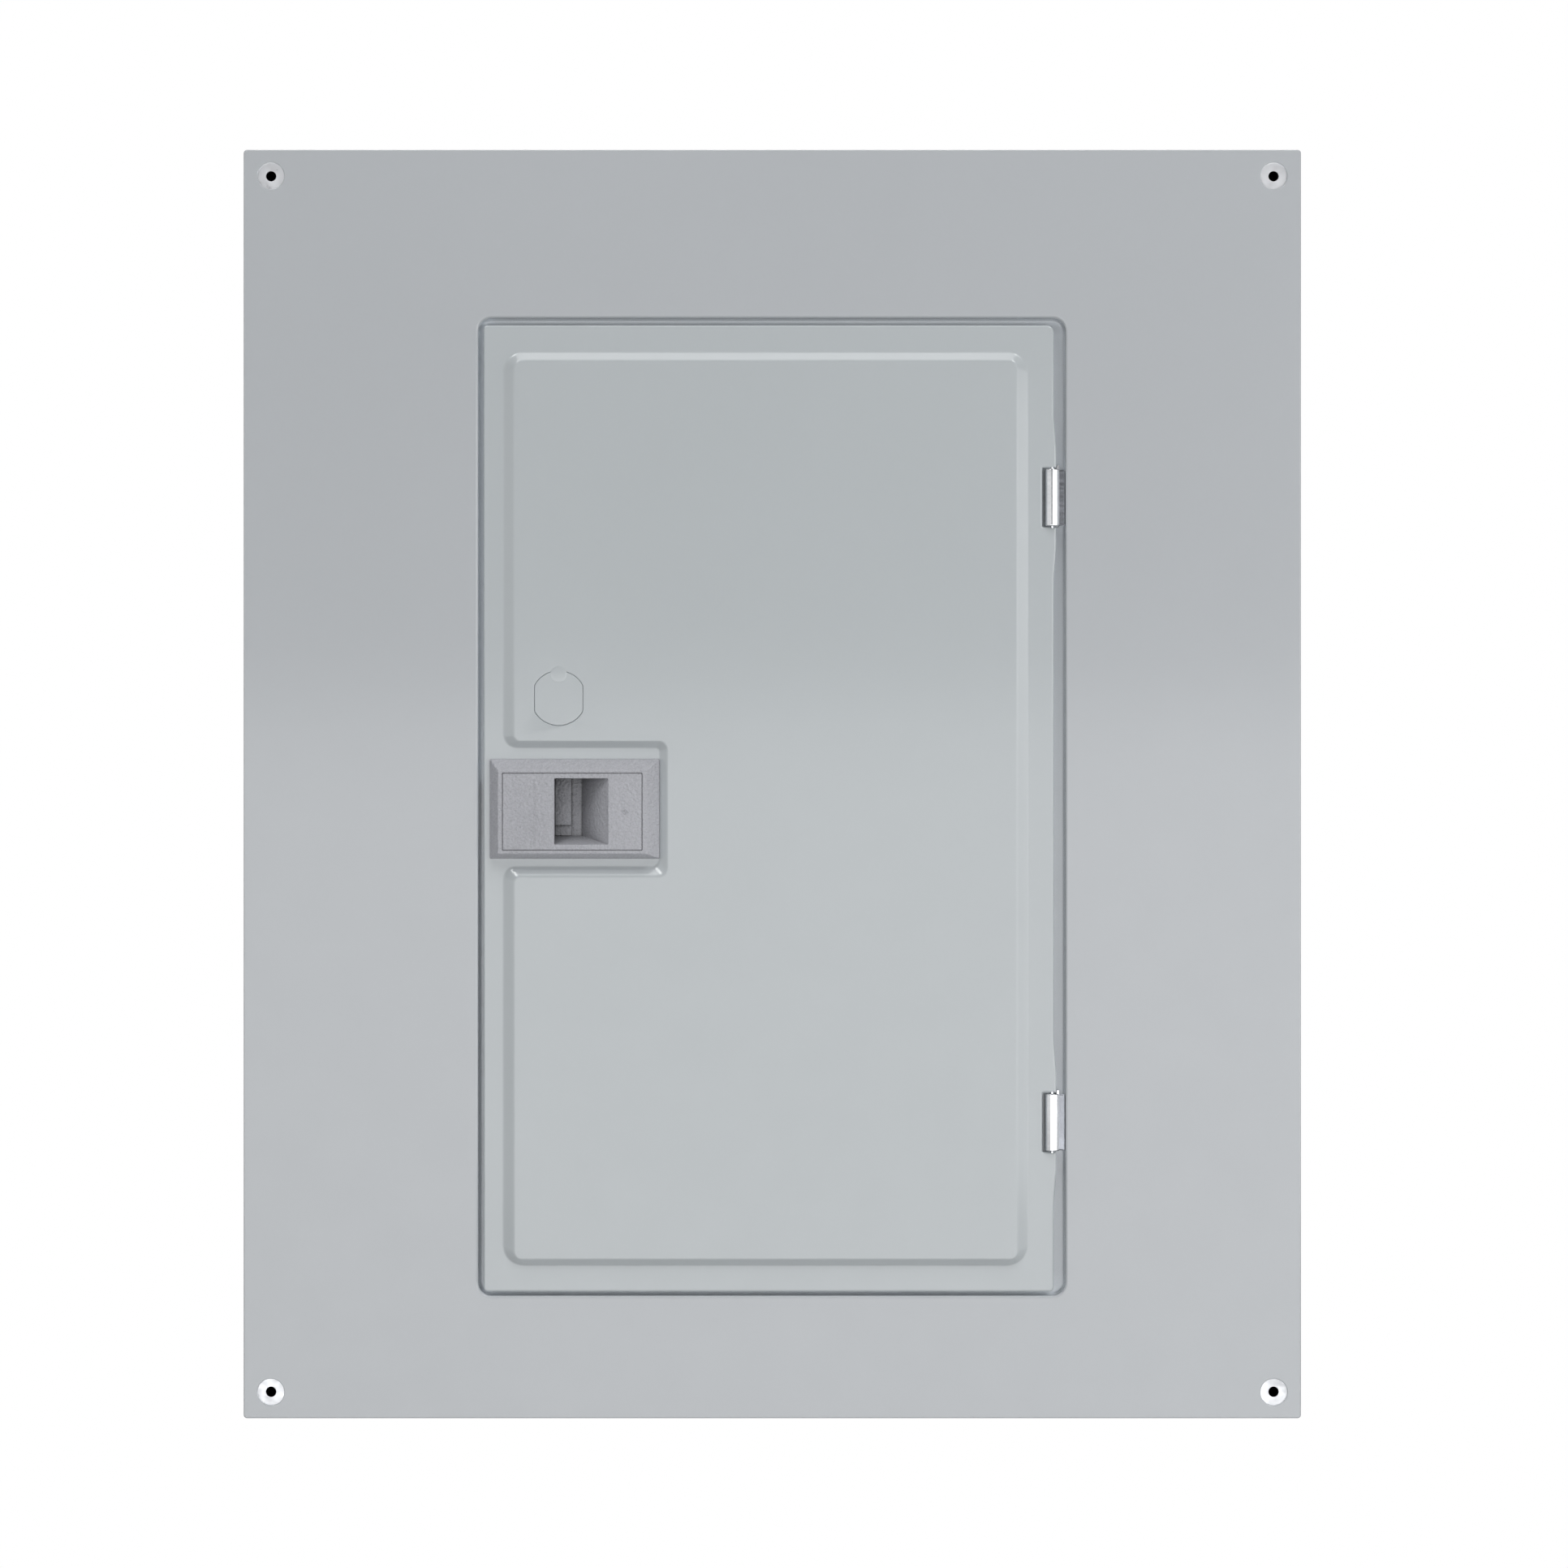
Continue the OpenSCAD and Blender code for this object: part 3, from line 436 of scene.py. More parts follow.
class Builder:
    """Collects vertices and faces, then makes one object of them."""

    def __init__(self):
        self.verts = []
        self.faces = []

    def loop(self, points, y):
        """Adds an outline's points at one depth, and gives their numbers."""
        start = len(self.verts)
        self.verts += [(p.x, y, p.y) for p in points]
        return list(range(start, len(self.verts)))

    def bridge(self, first, second, flip=False):
        """Quads between two loops with the same number of points."""
        count = len(first)
        for i in range(count):
            j = (i + 1) % count
            face = (first[i], first[j], second[j], second[i])
            self.faces.append(face[::-1] if flip else face)

    def fill(self, outer, holes=(), flip=False):
        """A flat face inside a loop, with holes in it."""
        loops = [outer, *holes]
        flat = [n for loop in loops for n in loop]
        rings = [[Vector(self.verts[n]) for n in loop] for loop in loops]
        for corner in tessellate_polygon(rings):
            face = [flat[c] for c in corner]
            a, b, c = (Vector(self.verts[n]) for n in face)
            towards_front = (b - a).cross(c - a).y < 0
            if towards_front == flip:
                face.reverse()
            self.faces.append(tuple(face))

    def stack(self, rings, flip=False):
        """Bridges a list of (points, y) rings in order, and gives the loops."""
        loops = [self.loop(points, y) for points, y in rings]
        for first, second in zip(loops, loops[1:]):
            self.bridge(first, second, flip)
        return loops

    def make(self, name, slot, body, *nodes, smooth_angle=40):
        data = bpy.data.meshes.new(name)
        data.from_pydata(self.verts, [], self.faces)
        mesh = bmesh.new()
        mesh.from_mesh(data)
        bmesh.ops.remove_doubles(mesh, verts=mesh.verts, dist=1e-7)
        bmesh.ops.recalc_face_normals(mesh, faces=mesh.faces)
        mesh.to_mesh(data)
        mesh.free()
        return place(name, data, slot, body, *nodes, smooth_angle=smooth_angle)


def place(name, data, slot, body, *nodes, smooth_angle=40):
    """Makes the object, gives it its material, and says what it rides on and stands for."""
    piece = bpy.data.objects.new(name, data)
    bpy.context.scene.collection.objects.link(piece)
    data.materials.append(MATERIALS[slot])
    smooth(piece, smooth_angle)
    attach(piece, body)
    if nodes:
        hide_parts(*nodes)
    return piece


def smooth(piece, angle):
    """Smooth shading, broken at open edges and at edges sharper than an angle in degrees."""
    for polygon in piece.data.polygons:
        polygon.use_smooth = True
    mesh = bmesh.new()
    mesh.from_mesh(piece.data)
    limit = math.radians(angle)
    for edge in mesh.edges:
        edge.smooth = len(edge.link_faces) == 2 and edge.calc_face_angle(0) < limit
    mesh.to_mesh(piece.data)
    mesh.free()
    weighted = piece.modifiers.new("weighted", "WEIGHTED_NORMAL")
    weighted.keep_sharp = True


def rolled(radius, steps=6):
    """(inset, travel) pairs from a wall round to a face: an outer edge, or the foot of a recess."""
    angles = [math.pi / 2 * k / steps for k in range(steps + 1)]
    return [(radius * (1 - math.cos(a)), radius * math.sin(a)) for a in angles]


def dipped(radius, steps=6):
    """(inset, drop) pairs down into a recess, from the face to its wall."""
    angles = [math.pi / 2 * k / steps for k in range(steps + 1)]
    return [(radius * math.sin(a), radius * (1 - math.cos(a))) for a in angles]


# ---------------------------------------------------------------- driving places, from the frame

cover_low, cover_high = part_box("cover")
door_low, door_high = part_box("door")
bezel_low, bezel_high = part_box("latch_bezel")
lock_low, lock_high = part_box("lock_knockout")
knuckles = [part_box("hinge_strap_upper"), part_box("hinge_strap_lower")]

SHEET = 1.5 * MM                            # thickness of the cover
DOOR_SHEET = 1.2 * MM                       # thickness of the door
RECESS_DEPTH = 5 * MM
DOOR_SETBACK = 0.45 * MM                    # the door's border lies this far behind the cover's face
COVER_HOLE_R = 4.6 * MM
CURL_R = 1.38 * MM                          # outer radius of the door's hinge curls
PIN_BORE = 1.05 * MM                        # radius of the knuckles' bores
PIN_R = 0.9                                 # radii of a pin in a knuckle and in a curl, in millimetres
PIN_END_R = 0.5
TONGUE_Z = (-17.4 * MM, -0.1 * MM)
TONGUE_GAP = 0.6 * MM
POCKET_LIP = 0.22 * MM                      # how far the finger pocket's lip rounds in
SPRING_SEAT_Y = -90 * MM                    # how deep the slider's seat for the spring reaches
SPRING_SEAT_Z = (-11 * MM, -6 * MM)
BREAKER_PITCH = 19.05 * MM
MAIN_HANDLE_Z = 106 * MM
cover_face = cover_low.y
cover_back = cover_face + SHEET
recess_face = cover_face + RECESS_DEPTH
recess_back = recess_face + SHEET
door_face = cover_face + DOOR_SETBACK
field_face = lock_low.y
field_rise = door_face - field_face
curl_reach = 0.9 * MM                       # how far the hinge curls stand past the door's edge
door_x = (door_low.x, door_high.x - curl_reach)
door_z = (door_low.z, door_high.z)
recess = rectangle((door_x[0] - 1.8 * MM, door_x[1] + 4.0 * MM),
                   (door_z[0] - 1.3 * MM, door_z[1] + 2.5 * MM), 4.5 * MM)
opening = rectangle((door_x[0] + 12.9 * MM, door_x[1] - 16.4 * MM),
                    (door_z[0] + 13.9 * MM, door_z[1] - 12.1 * MM), 4 * MM)
hinge_x = door_x[1] - 0.6 * MM
hinge_y = door_face + DOOR_SHEET / 2
hinge_z = [(low.z + high.z) / 2 for low, high in knuckles]
knuckle_half = (knuckles[0][1].z - knuckles[0][0].z) / 2
lock_centre = ((lock_low.x + lock_high.x) / 2, (lock_low.z + lock_high.z) / 2)


# ---------------------------------------------------------------- cover

def slot_loop(x, z):
    """A plain rectangular hole, as points."""
    return rectangle(x, z, 0.3 * MM).points(2)


def cover_holes():
    """Centres of the holes at the corners of the cover."""
    x, z = cover_high.x - 9.3 * MM, cover_high.z - 8.95 * MM
    return [(sx * x, sz * z) for sx in (-1, 1) for sz in (-1, 1)]


def ledge_holes():
    """Screw holes and hinge slots through the floor of the recess."""
    screw_low, screw_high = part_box("dead_front_screws")
    head = 2.9 * MM
    holes = [circle(x, z, 1.8 * MM, 16) for x in (screw_low.x + head, screw_high.x - head)
             for z in (screw_low.z + head, screw_high.z - head)]
    for z in hinge_z:
        holes.append(slot_loop((hinge_x + 1.2 * MM, hinge_x + 2.6 * MM),
                               (z - knuckle_half - 0.2 * MM, z + knuckle_half + 0.2 * MM)))
    return holes


def build_cover():
    """One stamped sheet: rolled outer edge, punched holes, and a recess with a soft lip."""
    b = Builder()
    edge, lip, foot, hole_edge = 0.45 * MM, 0.9 * MM, 1.1 * MM, 0.3 * MM
    outer = rectangle((cover_low.x, cover_high.x), (cover_low.z, cover_high.z), 1.2 * MM)
    rings = [(outer.inset(i).points(), cover_face + edge - r) for i, r in rolled(edge)]
    sides = b.stack([(outer.points(), cover_back), *rings])
    fronts, backs = [], []
    for x, z in cover_holes():
        rings = [(circle(x, z, COVER_HOLE_R + hole_edge - i), cover_face + d)
                 for i, d in dipped(hole_edge, 4)]
        loops = b.stack(rings + [(circle(x, z, COVER_HOLE_R), cover_back)])
        fronts.append(loops[0])
        backs.append(loops[-1])
    mouth = recess.inset(-lip)
    rings = [(mouth.inset(i).points(), cover_face + d) for i, d in dipped(lip)]
    rings += [(recess.inset(i).points(), recess_face - foot + d) for i, d in rolled(foot)]
    bowl = b.stack(rings)
    b.fill(sides[-1], [bowl[0], *fronts])
    cut = b.stack([(opening.inset(-i).points(), y) for i, y in
                   ((0.25 * MM, recess_face), (0, recess_face + 0.25 * MM), (0, recess_back))])
    floor_front, floor_back = [], []
    for points in ledge_holes():
        loops = b.stack([(points, recess_face), (points, recess_back)])
        floor_front.append(loops[0])
        floor_back.append(loops[-1])
    b.fill(bowl[-1], [cut[0], *floor_front])
    tray = recess.inset(-SHEET)
    under = b.stack([(tray.points(), cover_back), (tray.points(), recess_back)])
    b.fill(under[-1], [cut[-1], *floor_back], flip=True)
    b.fill(sides[0], [under[0], *backs], flip=True)
    cover = b.make("cover_sheet", "cover_paint", "panel", "cover")
    cut_strike_slot(cover)


def cut_strike_slot(cover):
    """Opens the slot in the recess's wall that the latch tongue stands in front of."""
    x = (recess.corners[0].x - 2 * SHEET, recess.corners[0].x + 0.4 * MM)
    y = (recess_face - 3.2 * MM, recess_face - 0.8 * MM)
    z = (TONGUE_Z[0] - TONGUE_GAP, TONGUE_Z[1] + TONGUE_GAP)
    data = bpy.data.meshes.new("slot_cutter")
    verts = [(i, j, k) for i in x for j in y for k in z]
    faces = [(0, 1, 3, 2), (4, 6, 7, 5), (0, 4, 5, 1), (2, 3, 7, 6), (0, 2, 6, 4), (1, 5, 7, 3)]
    data.from_pydata(verts, [], faces)
    cutter = bpy.data.objects.new("slot_cutter", data)
    bpy.context.scene.collection.objects.link(cutter)
    cut = cover.modifiers.new("slot", "BOOLEAN")
    cut.operation = "DIFFERENCE"
    cut.object = cutter
    cut.solver = "EXACT"
    apply_modifier(cover, cut)
    bpy.data.objects.remove(cutter)


def apply_modifier(piece, modifier):
    """Bakes one modifier into the mesh, keeping the others."""
    others = [m for m in piece.modifiers if m != modifier]
    for other in others:
        other.show_viewport = False
    bpy.context.view_layer.update()
    shape = piece.evaluated_get(bpy.context.evaluated_depsgraph_get())
    data = bpy.data.meshes.new_from_object(shape)
    piece.modifiers.remove(modifier)
    piece.data = data
    for other in others:
        other.show_viewport = True


# ---------------------------------------------------------------- door

def field_outlines():
    """The raised field's outline at the border's level and at its own level."""
    foot_x = (door_x[0] + 6.2 * MM, door_x[1] - 8.65 * MM)
    foot_z = (door_z[0] + 8.9 * MM, door_z[1] - 8.8 * MM)
    top_x = (foot_x[0] + 5.0 * MM, foot_x[1] - 4.35 * MM)
    top_z = (foot_z[0] + 2.7 * MM, foot_z[1] - 3.9 * MM)
    right = bezel_high.x - 0.4 * MM
    low, high = bezel_low.z - 2.5 * MM, bezel_high.z + 3.6 * MM

    def outline(x, z, edge, bottom, top, radii):
        """A rectangle with the latch's notch in its left side; radii are in millimetres."""
        return Outline([(x[0], z[0]), (x[1], z[0]), (x[1], z[1]), (x[0], z[1]), (x[0], top), (edge, top),
                        (edge, bottom), (x[0], bottom)], [radius * MM for radius in radii])

    foot = outline(foot_x, foot_z, right, low, high, [7.5, 7.5, 7.5, 7.5, 5, 1.4, 3, 5])
    top = outline(top_x, top_z, right + 3.6 * MM, low - 3.9 * MM, high + 2.8 * MM,
                  [2.2, 2.2, 2.2, 2.2, 1.8, 3.2, 3.2, 1.8])
    return foot, top


def bevel_profile(steps=14):
    """(share across, share up) pairs up the stamped bevel: a hollow foot, a straight slope, a round top."""
    bend = 0.24
    pairs = []
    for k in range(steps + 1):
        s = k / steps
        if s < bend:
            rise = s * s / (2 * bend)
        elif s > 1 - bend:
            rise = 1 - bend - (1 - s) ** 2 / (2 * bend)
        else:
            rise = s - bend / 2
        pairs.append((s, rise / (1 - bend)))
    return pairs


def door_outline():
    """Edge of the door sheet, with a notch and a bulge at each hinge."""
    bulge, ease, wide = 0.8 * MM, 11 * MM, 17.8 * MM
    notch_x, notch_half = hinge_x - 3.3 * MM, 10.15 * MM
    corners = [(door_x[0], door_z[0]), (door_x[1], door_z[0])]
    radii = [1.5 * MM, 1.5 * MM]
    out = door_x[1] + bulge
    for z in sorted(hinge_z):
        corners += [(door_x[1], z - wide - ease), (out, z - wide), (out, z - notch_half),
                    (notch_x, z - notch_half), (notch_x, z + notch_half),
                    (out, z + notch_half), (out, z + wide), (door_x[1], z + wide + ease)]
        radii += [12 * MM, 12 * MM, 0.3 * MM, 0.4 * MM, 0.4 * MM, 0.3 * MM, 12 * MM, 12 * MM]
    corners += [(door_x[1], door_z[1]), (door_x[0], door_z[1])]
    radii += [2.3 * MM, 1.3 * MM]
    return Outline(corners, radii)


def build_door():
    """Door sheet with a rolled edge, a stamped field and the lock hole."""
    b = Builder()
    edge = 0.7 * MM
    back = door_face + DOOR_SHEET
    outline = door_outline()
    rings = [(outline.inset(0.5 * MM), back), (outline.inset(0.15 * MM), back - 0.15 * MM),
             (outline, back - 0.35 * MM)]
    rings += [(outline.inset(i), door_face + edge - r) for i, r in rolled(edge)]
    side = b.stack([(ring.points(4), y) for ring, y in rings])
    foot, top = field_outlines()
    rings = [(foot.between(top, s).points(10), door_face - rise * field_rise) for s, rise in bevel_profile()]
    slope = b.stack(rings)
    hole_x = (bezel_low.x + 20.4 * MM, bezel_high.x - 15.6 * MM)
    hole_z = (bezel_low.z + 3.1 * MM, bezel_high.z - 4.9 * MM)
    hole = slot_loop(hole_x, hole_z)
    latch = b.stack([(hole, door_face), (hole, back)])
    b.fill(side[-1], [slope[0], latch[0]])
    lock = lock_points(0)
    edge_ring = b.stack([(lock_points(-0.25 * MM), field_face),
                         (lock_points(-0.07 * MM), field_face + 0.08 * MM),
                         (lock, field_face + 0.25 * MM), (lock, field_face + DOOR_SHEET)])
    b.fill(slope[-1], [edge_ring[0]])
    inner = b.stack([(points, y + DOOR_SHEET) for points, y in rings])
    b.fill(side[0], [inner[0], latch[-1]], flip=True)
    b.fill(inner[-1], [edge_ring[-1]], flip=True)
    b.make("door_sheet", "door_paint", "door", "door")


def lock_points(inset):
    """Outline of the double-D hole, moved inwards by a distance."""
    radius = (lock_high.z - lock_low.z) / 2 + 0.25 * MM - inset
    flat = (lock_high.x - lock_low.x) / 2 + 0.25 * MM - inset
    count = 72
    points = []
    for k in range(count):
        angle = 2 * math.pi * k / count
        x = max(-flat, min(flat, radius * math.cos(angle)))
        points.append(Vector((lock_centre[0] + x, lock_centre[1] + radius * math.sin(angle))))
    return points


def build_lock_slug():
    """Punched slug that fills the lock hole, held by a small tie at its top."""
    b = Builder()
    gap, edge = 0.1 * MM, 0.22 * MM
    rings = [(lock_points(gap), field_face + DOOR_SHEET), (lock_points(gap), field_face + edge),
             (lock_points(gap + edge), field_face + 0.02 * MM)]
    loops = b.stack(rings)
    b.fill(loops[-1])
    b.fill(loops[0], flip=True)
    b.make("lock_slug", "door_paint", "door", "lock_knockout")
    tie = Builder()
    top = lock_centre[1] + (lock_high.z - lock_low.z) / 2
    rings = [(2.8, 0.6), (2.8, -0.01), (2.6, -0.06), (1.9, -0.1)]     # radius and depth, in millimetres
    loops = tie.stack([(circle(lock_centre[0], top - 0.9 * MM, r * MM, 28), field_face + d * MM)
                       for r, d in rings])
    tie.fill(loops[-1])
    tie.fill(loops[0], flip=True)
    tie.make("lock_slug_tie", "door_paint", "door")


def build_door_return():
    """The door's edge, turned back along its left, top and bottom, and open for the latch's tongue."""
    b = Builder()
    outer = rectangle(door_x, door_z, 1.8 * MM).inset(0.05 * MM)
    limit = door_x[1] - 8 * MM
    bottom, top = TONGUE_Z[0] - TONGUE_GAP, TONGUE_Z[1] + TONGUE_GAP

    def with_gap(outline):
        """The outline's points, and on its left side the gap's two ends with a point between them."""
        left = outline.corners[0].x
        return outline.points(6) + [Vector((left, z)) for z in (top, (top + bottom) / 2, bottom)]

    path, inner = with_gap(outer), with_gap(outer.inset(DOOR_SHEET))
    for start, end in open_runs(path, lambda p: p.x < limit and not bottom < p.y < top):
        ring = path[start:end] if start < end else path[start:] + path[:end]
        inside = inner[start:end] if start < end else inner[start:] + inner[:end]
        shell_strip(b, ring, inside, door_face + 0.6 * MM, door_high.y)
    b.make("door_return", "door_paint", "door")


def open_runs(path, keep):
    """(start, end) numbers of the stretches of a closed path whose points are kept."""
    kept = [keep(p) for p in path]
    count = len(path)
    runs = []
    for i in range(count):
        if kept[i] and not kept[i - 1]:
            j = i
            while kept[j % count]:
                j += 1
            runs.append((i, j % count))
    return runs


def shell_strip(b, outer, inner, front, back):
    """A strip of sheet standing on edge along an open path."""
    rows = [b.loop(outer, front), b.loop(outer, back), b.loop(inner, back), b.loop(inner, front)]
    for first, second in zip(rows, rows[1:] + rows[:1]):
        for i in range(len(outer) - 1):
            b.faces.append((first[i], first[i + 1], second[i + 1], second[i]))
    for end in (0, -1):
        b.faces.append(tuple(row[end] for row in rows))


# ---------------------------------------------------------------- hinges

def ring_z(b, points, z):
    """Adds a loop of (x, y) points at one height."""
    start = len(b.verts)
    b.verts += [(x, y, z) for x, y in points]
    return list(range(start, len(b.verts)))


def arc(centre, radius, start, end, steps):
    """(x, y) points along an arc between two angles in degrees, 0 towards +X and 90 towards the wall."""
    found = []
    for k in range(steps + 1):
        angle = math.radians(start + (end - start) * k / steps)
        found.append((centre[0] + radius * math.cos(angle), centre[1] + radius * math.sin(angle)))
    return found


def cap(b, loop):
    b.faces.append(tuple(loop))


def upright(b, levels, ends=True):
    """Bridges (points, z) levels into an upright solid."""
    loops = [ring_z(b, points, z) for points, z in levels]
    for first, second in zip(loops, loops[1:]):
        b.bridge(first, second)
    if ends:
        cap(b, loops[0])
        cap(b, loops[-1])


def block(b, x, y, z, edge=0.25 * MM):
    """A box with its edges rounded, between ranges of x, y and z."""
    outline = rectangle(x, z, edge)
    chamfer = 0.3 * edge
    slim = outline.inset(chamfer)
    rings = [(slim, y[1]), (outline, y[1] - chamfer), (outline, y[0] + chamfer), (slim, y[0])]
    loops = b.stack([(ring.points(3), depth) for ring, depth in rings])
    b.fill(loops[0], flip=True)
    b.fill(loops[-1])


def build_hinge(name, z):
    """Rolled knuckle with a bore, a leaf that lies in the recess beside it, and a stepped pin."""
    low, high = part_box("hinge_strap_" + name)
    axis = (hinge_x, hinge_y)
    radius = hinge_y - low.y
    half = knuckle_half
    b = Builder()
    rim = ((0, 0.35), (0.1, 0.12), (0.35, 0))       # in millimetres: along from the end, in from the radius
    levels = [(-1, *pair) for pair in rim] + [(1, *pair) for pair in reversed(rim)]
    rings = [(arc(axis, radius - i * MM, 0, 350, 35), z + side * (half - c * MM)) for side, c, i in levels]
    bore = arc(axis, PIN_BORE, 0, 350, 35)
    rings += [(bore, z + half), (bore, z - half), rings[0]]
    upright(b, rings, ends=False)
    web = (hinge_x + 1.6 * MM, hinge_x + 2.42 * MM)
    block(b, web, (hinge_y - 0.6 * MM, high.y), (z - half + 0.3 * MM, z + half - 0.3 * MM), 0.2 * MM)
    block(b, web, (hinge_y - 0.2 * MM, recess_face - 0.4 * MM),
          (z + half - 0.8 * MM, z + half + 1.3 * MM), 0.2 * MM)
    wall = recess.corners[1].x - 0.25 * MM
    leaf = [(web[0], recess_face - 1.5 * MM), (wall, door_face + 0.3 * MM), (wall, recess_face + 0.02 * MM),
            (web[0], recess_face + 0.02 * MM)]
    upright(b, [(leaf, z - half + 0.2 * MM), (leaf, z + half - 0.2 * MM)])
    block(b, (low.x, web[1]), (recess_back + 0.02 * MM, high.y), (z - half, z + half), 0.2 * MM)
    b.make("hinge_strap_" + name + "_rolled", "bright_plate", "panel", "hinge_strap_" + name)
    pin = Builder()
    tip = 17 * MM
    step = half - 0.4 * MM
    steps = [(-tip, 0.2), (-tip + 0.3 * MM, PIN_END_R), (-step, PIN_END_R), (-step, PIN_R),
             (step, PIN_R), (step, PIN_END_R), (tip - 0.3 * MM, PIN_END_R), (tip, 0.2)]
    upright(pin, [(arc(axis, r * MM, 0, 345, 23), z + dz) for dz, r in steps])
    pin.make("hinge_pin_" + name + "_stepped", "bright_plate", "door", "hinge_pin_" + name)


def build_curls():
    """Half tubes behind the door's edge that hold the pins' ends."""
    b = Builder()
    axis = (hinge_x, hinge_y)
    for centre in hinge_z:
        for side in (-1, 1):
            near, far = centre + side * 10.3 * MM, centre + side * 17.9 * MM
            front = [(hinge_x - CURL_R, hinge_y - 0.3 * MM), (hinge_x + CURL_R, hinge_y - 0.3 * MM)]
            profile = front + arc(axis, CURL_R, 0, 180, 16)
            slim = front + arc(axis, CURL_R - 0.18 * MM, 0, 180, 16)
            upright(b, [(slim, near), (profile, near + side * 0.15 * MM),
                        (profile, far - side * 0.3 * MM), (slim, far)])
    b.make("door_curls", "door_paint", "door")


# ---------------------------------------------------------------- latch

def build_slider():
    """Tongue, carrier and tray, with the stepped finger tab that stands in the pocket."""
    low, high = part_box("latch_slider")
    wall, edge = 1.5 * MM, 0.3 * MM
    frame_x = low.x + 14.8 * MM
    carrier = (door_face + 1.5 * MM, door_face + 3.4 * MM)
    tray = (carrier[0] + 0.1 * MM, high.y)
    tray_x = (low.x + 17.4 * MM, high.x - 1.4 * MM)
    tray_z = (low.z + 1.9 * MM, high.z - 1.7 * MM)
    floor = (high.y - wall, high.y)
    b = Builder()
    block(b, (low.x, low.x + 16 * MM), carrier, (low.z + 8.6 * MM, high.z - 7.1 * MM), edge)
    for x in ((frame_x, tray_x[0] + wall), (tray_x[1] - wall, high.x)):
        block(b, x, carrier, (low.z, high.z), edge)
    for z in ((low.z, tray_z[0] + wall), (tray_z[1] - wall, high.z)):
        block(b, (frame_x, high.x), carrier, z, edge)
    for x in ((tray_x[0], tray_x[0] + wall), (tray_x[1] - wall, tray_x[1])):
        block(b, x, tray, tray_z, edge)
    for z in ((tray_z[0], tray_z[0] + wall), (tray_z[1] - wall, tray_z[1])):
        block(b, tray_x, tray, z, edge)
    block(b, tray_x, floor, tray_z, edge)
    mouth = pocket_mouth().inset(POCKET_LIP)
    tab_x = (mouth.corners[0].x + 0.06 * MM, mouth.corners[0].x + 5.5 * MM)
    sill, top = mouth.corners[0].y, mouth.corners[2].y - 0.06 * MM
    tab_front = low.y + 4.4 * MM
    block(b, tab_x, (tab_front, floor[1]), (sill + 6.6 * MM, top))
    block(b, tab_x, (tab_front + 0.7 * MM, floor[1]), (sill + 3 * MM, sill + 7 * MM))
    block(b, (high.x - wall, high.x), (carrier[0] + 0.3 * MM, SPRING_SEAT_Y), SPRING_SEAT_Z)
    b.make("latch_slider_moulding", "latch_plastic", "latch_slider", "latch_slider")


def build_spring():
    """Coil with closed ends."""
    low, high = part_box("latch_spring")
    wire, turns, steps, sides = 0.32 * MM, 6, 24, 10
    centre_y, centre_z = (low.y + high.y) / 2, (low.z + high.z) / 2
    coil = (high.z - low.z) / 2 - wire
    start, length = low.x + wire, high.x - low.x - 2 * wire
    b = Builder()
    loops = []
    for k in range(turns * steps + 1):
        share = k / (turns * steps)
        turn = math.tau * turns * share
        x = start + length * (share - 0.5 * math.sin(math.tau * share) / math.tau)
        ring = []
        for side in range(sides):
            around = math.tau * side / sides
            out = coil + wire * math.cos(around)
            ring.append((x + wire * math.sin(around), centre_y + out * math.cos(turn),
                         centre_z + out * math.sin(turn)))
        loops.append(list(range(len(b.verts), len(b.verts) + sides)))
        b.verts += ring
    for first, second in zip(loops, loops[1:]):
        b.bridge(first, second)
    cap(b, loops[0])
    cap(b, loops[-1])
    spring = b.make("latch_spring_coil", "spring_steel", "door", "latch_spring", smooth_angle=60)
    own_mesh(spring)


